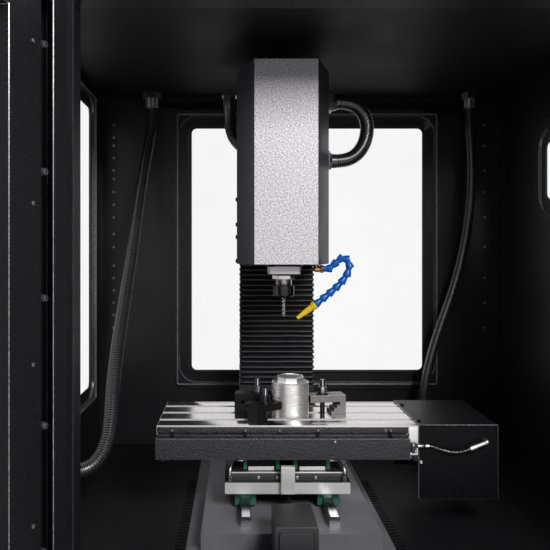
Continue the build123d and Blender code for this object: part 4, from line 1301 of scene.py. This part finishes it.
@dataclass
class Camera:
    """The camera of the photograph, worked out in its pixels."""

    pixels: float = 550.0
    focal: float = 622.0
    centre: tuple[float, float] = (238.0, 249.0)
    sensor: float = 36.0
    distance: float = 1026.0
    across: float = -75.5
    height: float = 542.0

    def build(self) -> None:
        """Adds the camera and makes it the scene's."""
        Piece.rest()
        bpy.ops.object.camera_add(
            location=at_spindle(self.across, -self.distance, self.height) * MM,
            rotation=(math.radians(90), 0, 0),
        )
        camera = bpy.context.object
        camera.name = "camera"
        camera.data.sensor_width = self.sensor
        camera.data.lens = self.sensor * self.focal / self.pixels
        camera.data.shift_x = (self.pixels / 2 - self.centre[0]) / self.pixels
        camera.data.shift_y = -(self.pixels / 2 - self.centre[1]) / self.pixels
        camera.data.clip_start = 0.02
        bpy.context.scene.camera = camera


@dataclass
class Studio:
    """Plain pale floor, white surroundings and soft lamps."""

    floor_radius: float = 1.6
    floor_drop: float = 0.0005
    fade_from: float = 0.55
    fade: float = 2.2
    floor_tones: tuple[Colour, Colour] = ((0.8, 0.8, 0.8), (0.84, 0.84, 0.84))
    floor_clouds: float = 30.0
    surroundings: float = 0.14
    mirrored: str = "front_lamp"
    lamps: list[tuple[str, Point, Point, float, float]] = field(
        default_factory=lambda: [
            ("front_lamp", (0.5, -1.35, 1.3), (-0.06, 0.08, 0.45), 0.5, 28.0),
            ("back_lamp", (0.1, 1.3, 0.9), (0.0, 0.3, 0.5), 1.0, 10.0),
            ("left_lamp", (-1.5, 0.2, 0.9), (-0.3, 0.1, 0.45), 0.9, 5.0),
        ]
    )

    def build(self) -> None:
        """Adds the world, the floor and the lamps."""
        bpy.context.scene.view_settings.view_transform = "Standard"
        self._world()
        self._floor()
        for name, spot, aim, size, power in self.lamps:
            lamp = bpy.data.lights.new(name, "AREA")
            lamp.energy = power
            lamp.size = size
            thing = bpy.data.objects.new(name, lamp)
            thing.location = spot
            way = Vector(aim) - Vector(spot)
            thing.rotation_euler = way.to_track_quat("-Z", "Y").to_euler()
            thing.visible_camera = False
            thing.visible_glossy = name == self.mirrored
            bpy.context.scene.collection.objects.link(thing)

    def _world(self) -> None:
        """White to the camera, in gloss and through clear sheet, plain light elsewhere."""
        graph = WorldGraph("surroundings")
        rays = [
            graph.node("ShaderNodeLightPath", {}, {}, f"Is {kind} Ray")
            for kind in ("Camera", "Glossy", "Transmission")
        ]
        plain, white = graph.light(self.surroundings), graph.light(1.0)
        seen = (rays[0] + rays[1] + rays[2]).clamp()
        output = graph.tree.nodes.new("ShaderNodeOutputWorld")
        graph.plug(output.inputs["Surface"], graph.blend(seen, plain, white))

    def _floor(self) -> None:
        """A pale disc that fades into the surroundings at its rim."""
        Piece.rest()
        bpy.ops.mesh.primitive_circle_add(
            vertices=96, radius=self.floor_radius, fill_type="NGON",
            location=(0, 0, -self.floor_drop),
        )
        floor = bpy.context.object
        floor.name = "floor"
        graph = Graph("pale_floor")
        away = graph.node(
            "ShaderNodeVectorMath", {"operation": "LENGTH"}, {0: graph.place}, "Value"
        )
        rim = ((away / self.floor_radius) - self.fade_from) * self.fade
        clouds = graph.noise(self.floor_clouds, 3.0)
        graph.set(
            Base_Color=graph.mix(clouds, *self.floor_tones), Roughness=0.7,
            Alpha=(1.0 - rim.clamp()),
        )
        floor.data.materials.append(graph.material)


@dataclass
class Screws:
    """One row or group of screw heads on a body."""

    name: str
    body: str
    places: list[Matrix]
    radius: float = 3.0
    height: float = 2.2
    socket: float = 0.5
    finish: Finish = BOLT
    foot: float = 0.98
    flat: float = 0.72
    sunk: float = 0.45
    corners: int = 18

    def build(self) -> None:
        """Turns one head, sinks its socket and copies it."""
        flat, rise = self.radius * self.flat, self.height
        head = Piece.ring(self.name, self.radius * self.foot, self.corners)
        head.turned([(self.radius, rise * 0.3), (self.radius, rise * 0.7), (flat, rise)])
        head.pick(lambda spot, normal: normal.z > TOWARDS and spot.z > rise * 0.9)
        head.edit("inset", thickness=(flat - self.radius * self.socket) * MM)
        sink = {"value": (0, 0, -rise * self.sunk * MM)}
        head.edit("extrude_region_move", TRANSFORM_OT_translate=sink)
        head.smooth(30).repeat(self.places).dress(self.finish, self.body)


@dataclass
class Enclosure:
    """Gaskets, ridges and screws of the sheet metal room."""

    half_width: float = 442.0
    room_back: float = 354.0
    row: float = 411.0
    heights: tuple[float, ...] = (
        817, 789, 771, 744, 716, 697, 668, 640, 612, 575, 546, 505, 478, 450, 423, 396, 368,
    )
    outer_depths: tuple[float, ...] = (-70, 40, 170, 300, 440)
    outer_rows: tuple[tuple[float, float], ...] = ((118, 2), (870, 4))
    sink: float = 0.3

    def _lip(
        self, name: str, window: str, inward: Vector, wider: float = 0.0, width: float = 7.0,
        height: float = 3.0, corner: float = 18.0, finish: Finish = GASKET,
    ) -> None:
        """A lip round a pane on its inner side.

        Args:
            name: the lip's name.
            window: the pane's node.
            inward: the way into the room.
            wider: how far the lip lies outside the pane.
            width: the lip's width.
            height: how far it stands into the room.
            corner: the radius of its corners.
            finish: what covers it.
        """
        low, high = (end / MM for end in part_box(window))
        middle = (low + high) / 2
        across = Vector((0, 0, 1)).cross(inward)
        half = abs((high - low).dot(across)) / 2 + wider
        tall = (high.z - low.z) / 2 + wider
        lip = Piece.block(name, (-half, -tall, 0), (half, tall, height))
        lip.pick_edges(lambda a, b: abs(a.z - b.z) > 1).edit(
            "bevel", offset=corner * MM, segments=6, affect="EDGES"
        )
        lip.pick(lambda spot, normal: abs(normal.z) > TOWARDS)
        lip.edit("inset", thickness=width * MM)
        lip.edit("bridge_edge_loops")
        lip.modify("BEVEL", width=min(1.2, width / 4) * MM, segments=3, limit_method="ANGLE")
        surface = middle + inward * ((high - low).dot(Vector(map(abs, inward))) / 2)
        upright = Vector((0, 0, 1))
        frame = Matrix((across, upright, across.cross(upright))).transposed().to_4x4()
        if frame.to_3x3().col[2].dot(inward) < 0:
            frame = frame @ Matrix.Rotation(math.pi, 4, "Y")
        lip.place(Matrix.Translation((surface - inward * self.sink) * MM) @ frame)
        lip.smooth().dress(finish, "frame")

    def _row(self, name: str, x: float, heights: Sequence[float]) -> None:
        """A row of screws down the back wall.

        Args:
            name: the row's name.
            x: where it stands, millimetres.
            heights: the screws' heights.
        """
        spots = [facing((x, SPINDLE.y + self.room_back, z), (0, -1, 0)) for z in heights]
        Screws(name, "frame", spots, radius=3.4, height=2.6).build()

    def build(self) -> None:
        """Adds the gaskets, the ridges and the screw rows."""
        back, left, right = Vector((0, -1, 0)), Vector((1, 0, 0)), Vector((-1, 0, 0))
        self._lip("back_window_gasket", "back_window", back)
        self._lip("left_window_gasket", "left_window", left)
        self._lip("right_window_gasket", "right_window", right)
        # The ridges round the back and left windows wear the lighter coat, a painted highlight.
        for name, inward in (("back_window", back), ("left_window", left)):
            self._lip(
                name + "_ridge", name, inward, wider=26.0, width=3.4, height=7.5,
                corner=5.0, finish=PAINTED_HIGHLIGHT_COAT,
            )
        self._row("back_wall_screws", -self.row, self.heights)
        self._row("right_back_screws", self.row, self.heights[::2])
        sides = [
            facing((side * (self.half_width + proud), y, z), (side, 0, 0))
            for side in (-1, 1) for y in self.outer_depths for z, proud in self.outer_rows
        ]
        Screws("outer_screws", "frame", sides, radius=4.0, height=2.4).build()


@dataclass
class Bevelled:
    """One CAD part again, with its edges broken as a real one's are.

    A second finish goes on the faces that pass a test, or the broken edges get a lighter coat as a
    painted highlight on a part that stands turned about Z by some degrees.
    """

    node: str
    width: float = 0.8
    angle: float = 40.0
    second: Optional[Finish] = None
    where: Optional[Callable[[Vector, Vector], bool]] = None
    turned: Optional[float] = None

    def build(self) -> None:
        """Copies the node, breaks its edges and dresses it in the node's finish."""
        body = body_of(bpy.data.objects[self.node])[0]
        piece = Piece.copy_of(self.node + "_finished", self.node)
        piece.softened(self.width, self.angle)
        piece.dress(NODE_FINISHES[self.node], body, self.node)
        if self.second and self.where:
            piece.second(self.second, self.where)
        # Otherwise the broken edges take the lighter coat, a painted highlight.
        elif self.turned is not None:
            square = Matrix.Rotation(math.radians(self.turned), 3, "Z")
            piece.second(PAINTED_HIGHLIGHT_COAT, lambda spot, normal: off_axis(square @ normal))


@dataclass
class SheetAndCast:
    """The painted sheets, castings and small metal parts, each with its edges broken."""

    slots: tuple[float, ...] = (-42.0, 0.0, 42.0)
    slot_half: float = 5.3
    slot_band: tuple[float, float] = (262.0, 271.9)
    head_front: float = 0.97
    housing_step: float = 516.0
    saddle_front: float = -79.5
    saddle_rib: float = 12.0
    bright_clamps: float = 47.0
    plain: dict[str, float] = field(
        default_factory=lambda: {
            "base_cabinet": 1.4, "left_wall": 0.9, "right_wall": 0.9, "back_wall": 0.9,
            "roof": 0.9, "front_frame": 1.2, "left_door": 1.1, "right_door": 1.1,
            "left_door_handle": 2.0, "right_door_handle": 2.0, "machine_base": 1.5,
            "column": 1.5, "table_guard": 1.2, "x_motor_cover": 1.1, "limit_switch": 0.5,
            "trip_dogs": 0.5, "clamp_studs": 0.4, "head_casting": 1.5, "collet_nut": 0.6,
            "spindle_shaft": 0.3, "z_motor": 1.5, "y_motor": 1.5, "x_motor": 1.5,
            "spindle_motor": 1.5, "linear_carriages": 0.5, "carriage_caps": 0.5, "feet": 2.0,
            "wall_conduit_fittings": 0.8, "head_conduit_fittings": 0.8, "z_carriages": 0.5,
            "cable_plug": 0.5,
        }
    )
    # Parts whose broken edges get a painted highlight, with the degrees that each stands turned
    # about Z.
    rubbed: dict[str, float] = field(
        default_factory=lambda: {
            "left_wall": 0.0, "right_wall": 0.0, "back_wall": 0.0, "roof": 0.0,
            "front_frame": 0.0, "left_door": DOORS_OPENED, "right_door": -DOORS_OPENED,
            "table_guard": 0.0, "x_motor_cover": 0.0, "head_conduit_fittings": 0.0,
            "wall_conduit_fittings": 0.0,
        }
    )

    def _on_rib(self, spot: Vector, normal: Vector) -> bool:
        """Whether a face is the front of the saddle's middle rib."""
        near = spot.y < SPINDLE.y + self.saddle_front
        return near and abs(spot.x - SPINDLE.x) < self.saddle_rib

    def _bright_on_table(self, spot: Vector, normal: Vector) -> bool:
        """Whether a face is a broken edge of the table, or a side of a slot's mouth: both take a
        brighter metal, a painted highlight on the edges and a painted reflection in the slots.
        """
        low, high = self.slot_band
        away = min(abs(spot.y - SPINDLE.y - slot) for slot in self.slots)
        return off_axis(normal) or (low < spot.z < high and away < self.slot_half)

    def build(self) -> None:
        """Adds each part, and those that carry two finishes."""
        for node, width in self.plain.items():
            Bevelled(node, width, turned=self.rubbed.get(node)).build()
        grained, step, clamps = self.head_front, self.housing_step, SPINDLE.x + self.bright_clamps
        for node, width, angle, finish, where in (
            # The cover's front faces take the light grey coat, partly a painted sheen.
            ("head_cover", 0.9, 12.0, HEAD_FRONT, lambda spot, normal: normal.y < -grained),
            (
                "spindle_housing", 0.7, 40.0, BLACK_OXIDE,
                lambda spot, normal: spot.z > step or normal.z < -TOWARDS,
            ),
            ("saddle", 1.2, 40.0, EDGE_STEEL, self._on_rib),
            ("step_clamps", 0.8, 30.0, STRAP_METAL, lambda spot, normal: spot.x > clamps),
            # The table's broken edges and slot mouths take the brighter metal as painted highlight
            # and painted reflection.
            ("table", 0.7, 40.0, EDGE_STEEL, self._bright_on_table),
        ):
            Bevelled(node, width, angle, finish, where).build()


@dataclass
class TableFront:
    """The trim and screws along the table and on its motor cover."""

    left: float = -199.4
    right: float = 185.0
    end: float = 199.7
    face: float = -75.0
    laid: float = 0.4
    gap: float = 0.1
    end_start: float = 186.4
    upper_bar: tuple[float, float] = (260.4, 269.6)
    lower_bar: tuple[float, float] = (254.2, 258.6)
    end_face: tuple[float, float] = (238.0, 270.0)
    bright_edge: tuple[float, float] = (270.2, 271.9)
    bar_screws: tuple[float, ...] = (-176, -64, -12, 47, 150, 158)
    screw_level: float = 265.0
    screw_proud: float = 1.5
    cover_top: float = 274.0
    cover_side: float = 77.3
    cover_level: float = 217.0
    cover_near: float = 203.6
    cover_far: float = 300.0
    top_screws: tuple[tuple[float, float], ...] = ((206, 42), (206, -57))
    switch_screws: tuple[Point, ...] = ((193.5, -84.0, 236.0), (190.5, -84.0, 245.0))
    guard_screw: Point = (72.0, -83.0, 249.5)
    switch: Point = (196.5, -81.0, 242.6)
    ferrule: float = 2.7
    ferrule_outline: tuple[tuple[float, float], ...] = (
        (3.2, 0.6), (3.2, 9.0), (2.9, 9.6), (2.9, 12.0), (3.2, 12.6), (3.2, 18.0), (2.7, 18.8),
    )

    def _bar(
        self, name: str, ends: tuple[float, float], levels: tuple[float, float], proud: float,
        finish: Finish, width: float,
    ) -> None:
        """One bar with rounded edges along the table's front.

        Args:
            name: the bar's name.
            ends: where it starts and ends along X.
            levels: its lower and upper side.
            proud: how far it stands before the front.
            finish: what covers it.
            width: of its broken edges.
        """
        low = at_spindle(ends[0], self.face - proud, levels[0])
        high = at_spindle(ends[1], self.face + self.laid, levels[1])
        bar = Piece.block(name, low, high)
        bar.pick(lambda spot, normal: normal.x > TOWARDS).edit("inset", thickness=0.5 * MM)
        bar.softened(width, 30.0, 3).dress(finish, "table")

    def _screws(
        self, name: str, spots: Sequence[tuple[Point, Point]], radius: float, height: float,
        finish: Finish,
    ) -> None:
        """Screws on the table.

        Args:
            name: the group's name.
            spots: where each stands, from the spindle axis, and the way that it faces.
            radius: of a head.
            height: of a head.
            finish: what covers them.
        """
        places = [facing(at_spindle(*spot), way) for spot, way in spots]
        Screws(name, "table", places, radius, height, finish=finish).build()

    def build(self) -> None:
        """Adds the bars, the screws and the switch's ferrule."""
        span, edge = (self.left, self.right), (self.left, self.end - self.gap)
        for name, ends, levels, proud, finish, width in (
            ("table_upper_bar", span, self.upper_bar, 1.6, GUARD_COAT, 0.7),
            ("table_lower_bar", span, self.lower_bar, 2.6, GUARD_COAT, 0.7),
            ("table_end_face", (self.end_start, self.end), self.end_face, 0.5, EDGE_STEEL, 0.4),
            ("table_bright_edge", edge, self.bright_edge, 0.5, EDGE_STEEL, 0.4),
        ):
            self._bar(name, ends, levels, proud, finish, width)
        front, back, up = (0, -1, 0), (0, 1, 0), (0, 0, 1)
        side, level = self.cover_side, self.cover_level
        along = [(x, self.face - self.screw_proud, self.screw_level) for x in self.bar_screws]
        sides = [
            ((self.cover_near, -side, level), front), ((self.cover_near, side, level), back),
            ((self.cover_far, side, level), back),
        ]
        for name, spots, radius, height, finish in (
            ("table_bar_screws", [(spot, front) for spot in along], 2.2, 1.6, BOLT),
            (
                "motor_cover_screws", [((x, y, self.cover_top), up) for x, y in self.top_screws],
                3.4, 2.0, BLACK_OXIDE,
            ),
            ("motor_cover_side_screws", sides, 2.6, 2.0, BRIGHT_BOLT),
            ("switch_screws", [(s, front) for s in self.switch_screws], 1.7, 1.4, BRIGHT_BOLT),
        ):
            self._screws(name, spots, radius, height, finish)
        ferrule = Piece.ring("switch_ferrule", self.ferrule, 20).turned(self.ferrule_outline)
        ferrule.place(facing(at_spindle(*self.switch), (1, 0, 0))).smooth(30)
        ferrule.dress(BRIGHT_BOLT, "table")
        self._screws("guard_screws", [(self.guard_screw, front)], 1.4, 0.8, BRIGHT_BOLT)


@dataclass
class HeadScrews:
    """The screws that hold the head's cover."""

    half: float = 77.5
    spot: float = 70.0
    heights: tuple[float, ...] = (629.0, 585.0, 563.0, 521.0)

    def build(self) -> None:
        """Adds the same screws on both sides."""
        places = [
            facing(at_spindle(side * self.half, self.spot, height), (side, 0, 0))
            for side in (-1, 1) for height in self.heights
        ]
        Screws(
            "head_cover_screws", "head", places, radius=3.4, height=2.4, finish=BLACK_OXIDE
        ).build()


@dataclass
class DoorBolts:
    """The bolts on the inner side of both doors."""

    hinge_x: float = 349.0
    hinge_y: float = -150.36
    half_leaf: float = 14.0
    large_row: float = 50.0
    large_heights: tuple[float, ...] = (204, 345, 487, 628, 770)
    small_row: float = 77.0
    small_heights: tuple[float, ...] = (245, 418, 591, 765)

    def _spot(self, side: int, along: float, height: float, proud: float) -> Matrix:
        """A place on a leaf's inner side.

        Args:
            side: -1 for the left door and 1 for the right one.
            along: distance from the hinge.
            height: height above the ground.
            proud: distance from the leaf's middle.

        Returns:
            The place, metres.
        """
        turn = math.radians(DOORS_OPENED)
        ahead = Vector((side * -math.cos(turn), -math.sin(turn), 0))
        inward = Vector((side * -math.sin(turn), math.cos(turn), 0))
        hinge = Vector((side * self.hinge_x, self.hinge_y, height))
        return facing(hinge + ahead * along + inward * proud, inward)

    def build(self) -> None:
        """Adds large and small bolts to each door."""
        for side, body in ((-1, "left_door"), (1, "right_door")):
            large = [self._spot(side, self.large_row, z, 1.0) for z in self.large_heights]
            small = [
                self._spot(side, self.small_row, z, self.half_leaf) for z in self.small_heights
            ]
            Screws(body + "_bolts", body, large, radius=4.6, height=13.0).build()
            Screws(body + "_small_bolts", body, small, radius=2.6, height=1.8).build()


@dataclass
class SaddleFront:
    """Ground faces, screws and pipe ends below the table."""

    half: float = 86.0
    face: float = -70.0
    top: float = 199.0
    above: float = 0.1
    carriage_inner: float = 19.8
    carriage_outer: float = 59.5
    carriage_front: float = -62.6
    carriage_back: float = -59.0
    carriage_height: float = 6.0
    edge_proud: float = 0.5
    edge_depth: float = 1.5
    edge_height: float = 1.6
    screw_level: float = 190.5
    screw_row: tuple[float, ...] = (-44, -15.5, 15.5, 44)
    union: Point = (88.0, -75.0, 189.5)
    union_radius: float = 3.4
    union_outline: tuple[tuple[float, float], ...] = (
        (3.9, 0.6), (3.9, 4.6), (3.3, 5.4), (2.6, 5.8), (2.6, 8.0),
    )

    def _band(self, name: str, low: Vector, high: Vector, side: Vector, step: float) -> None:
        """One ground band on the saddle.

        Args:
            name: the band's name.
            low: lowest corner.
            high: highest corner.
            side: the way that its ground face looks.
            step: the width of the border round that face.
        """
        band = Piece.block(name, low, high)
        band.pick(lambda spot, normal: normal.dot(side) > TOWARDS)
        band.edit("inset", thickness=step * MM)
        band.softened(0.4, 30.0, 2).dress(EDGE_STEEL, "saddle")

    def build(self) -> None:
        """Adds the ground bands, the screws and the pipe unions."""
        front, up = Vector((0, -1, 0)), Vector((0, 0, 1))
        inner, outer, foot = self.carriage_inner, self.carriage_outer, self.top + self.above
        for name, start, end in (("left_band", -outer, -inner), ("right_band", inner, outer)):
            low = at_spindle(start, self.carriage_front, foot)
            high = at_spindle(end, self.carriage_back, self.top + self.carriage_height)
            self._band("carriage_" + name, low, high, front, 0.6)
        low = at_spindle(-self.half, self.face - self.edge_proud, self.top - self.edge_height)
        high = at_spindle(self.half, self.face + self.edge_depth, foot)
        self._band("saddle_ground_edge", low, high, up, 0.4)
        row = [facing(at_spindle(x, self.face, self.screw_level), front) for x in self.screw_row]
        Screws("saddle_screws", "saddle", row, 2.6, 1.8, finish=BRIGHT_BOLT).build()
        union = Piece.ring("oil_unions", self.union_radius, 6).turned(self.union_outline)
        x, y, z = self.union
        places = [Matrix.Translation(at_spindle(side * x, y, z) * MM) for side in (-1, 1)]
        union.smooth(25).repeat(places).dress(PIPE, "saddle")


@dataclass
class Workpiece:
    """The turned blank with its faceted top."""

    centre: tuple[float, float] = (10.0, -8.5)
    radius: float = 30.0
    low: float = 272.0
    shoulder: float = 327.0
    chamfer: float = 1.6
    ledge: float = 23.0
    tier: float = 21.0
    facets: int = 8
    top: float = 335.5
    groove: float = 0.45
    spacing: tuple[float, float] = (3.4, 5.6)
    corners: int = 96
    seed: int = 5

    def _blank(self) -> Piece:
        """Turns the body with its shallow grooves.

        Returns:
            The body, about the origin.
        """
        blank = Piece.ring("workpiece_blank", self.radius, self.corners)
        blank.place(Matrix.Translation((0, 0, self.low * MM)))
        chance = random.Random(self.seed)
        profile = []
        level = self.low + 3.0
        while level < self.shoulder - 5.0:
            profile += [
                (self.radius, level), (self.radius - self.groove, level + 0.5),
                (self.radius - self.groove, level + 1.0), (self.radius, level + 1.6),
            ]
            level += chance.uniform(*self.spacing)
        profile += [
            (self.radius, self.shoulder - self.chamfer),
            (self.radius - self.chamfer, self.shoulder), (self.ledge, self.shoulder),
        ]
        return blank.turned(profile).smooth(25)

    def _crown(self) -> Piece:
        """Mills the facets of the top.

        Returns:
            The top, about the origin.
        """
        half_facet = math.pi / self.facets
        reach = self.tier / math.cos(half_facet)
        crown = Piece.ring("workpiece_crown", reach, self.facets)
        start = Matrix.Translation((0, 0, (self.shoulder - 0.5) * MM))
        crown.place(start @ Matrix.Rotation(half_facet, 4, "Z"))
        crown.turned([(reach, self.top - 1.4), (self.tier - 0.6, self.top)])
        crown.pick(lambda spot, normal: normal.z > TOWARDS).edit("inset", thickness=4.0 * MM)
        sink = {"value": (0, 0, -0.9 * MM)}
        crown.edit("extrude_region_move", TRANSFORM_OT_translate=sink)
        return crown.smooth(20)

    def build(self) -> None:
        """Joins the body and its top, and sets them on the table."""
        whole = Piece.joined("workpiece_blank", [self._blank(), self._crown()])
        whole.place(Matrix.Translation(at_spindle(*self.centre, 0) * MM))
        whole.dress(WORK, "table", "workpiece")


@dataclass
class EndMill:
    """The two-fluted cutter."""

    shank: float = 3.0
    flute: float = 1.9
    low: float = 431.0
    neck: float = 458.0
    run_out: float = 1.5
    high: float = 477.0
    lead: float = 13.0
    pitch: float = 0.9
    corners: int = 24

    def _section(self, level: float, depth: float) -> list[Vector]:
        """One twisted outline.

        Args:
            level: its height.
            depth: how deep its two flutes are.

        Returns:
            The points.
        """
        turn = math.tau * (level - self.low) / self.lead
        points = []
        for k in range(self.corners):
            angle = math.tau * k / self.corners
            hollow = max(0.0, math.cos(2 * angle)) ** 0.6
            reach = self.shank - depth * hollow
            x, y = reach * math.cos(angle + turn), reach * math.sin(angle + turn)
            points.append(at_spindle(x, y, level))
        return points

    def build(self) -> None:
        """Twists the flutes up into the shank."""
        count = int((self.neck - self.low) / self.pitch) + 1
        rings = [self._section(self.low + self.pitch * k, self.flute) for k in range(count)]
        rings += [self._section(level, 0.0) for level in (self.neck + self.run_out, self.high)]
        Piece.lofted("end_mill_flutes", rings).smooth(40).dress(CARBIDE, "spindle", "end_mill")


def main() -> None:
    """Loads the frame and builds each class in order."""
    logging.basicConfig(level=logging.INFO, format="%(message)s")
    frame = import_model()
    for node, finish in NODE_FINISHES.items():
        thing = frame["nodes"][node]
        thing.data.materials.clear()
        thing.data.materials.append(finish.material())
    for part in (
        Camera(), Studio(), SheetAndCast(), Enclosure(), TableFront(), HeadScrews(), DoorBolts(),
        SaddleFront(), Workpiece(), EndMill(), Wiring(), WayCover(), CoolantHose(),
    ):
        LOG.info("%s:", type(part).__name__)
        part.build()


if __name__ == "__main__":
    main()
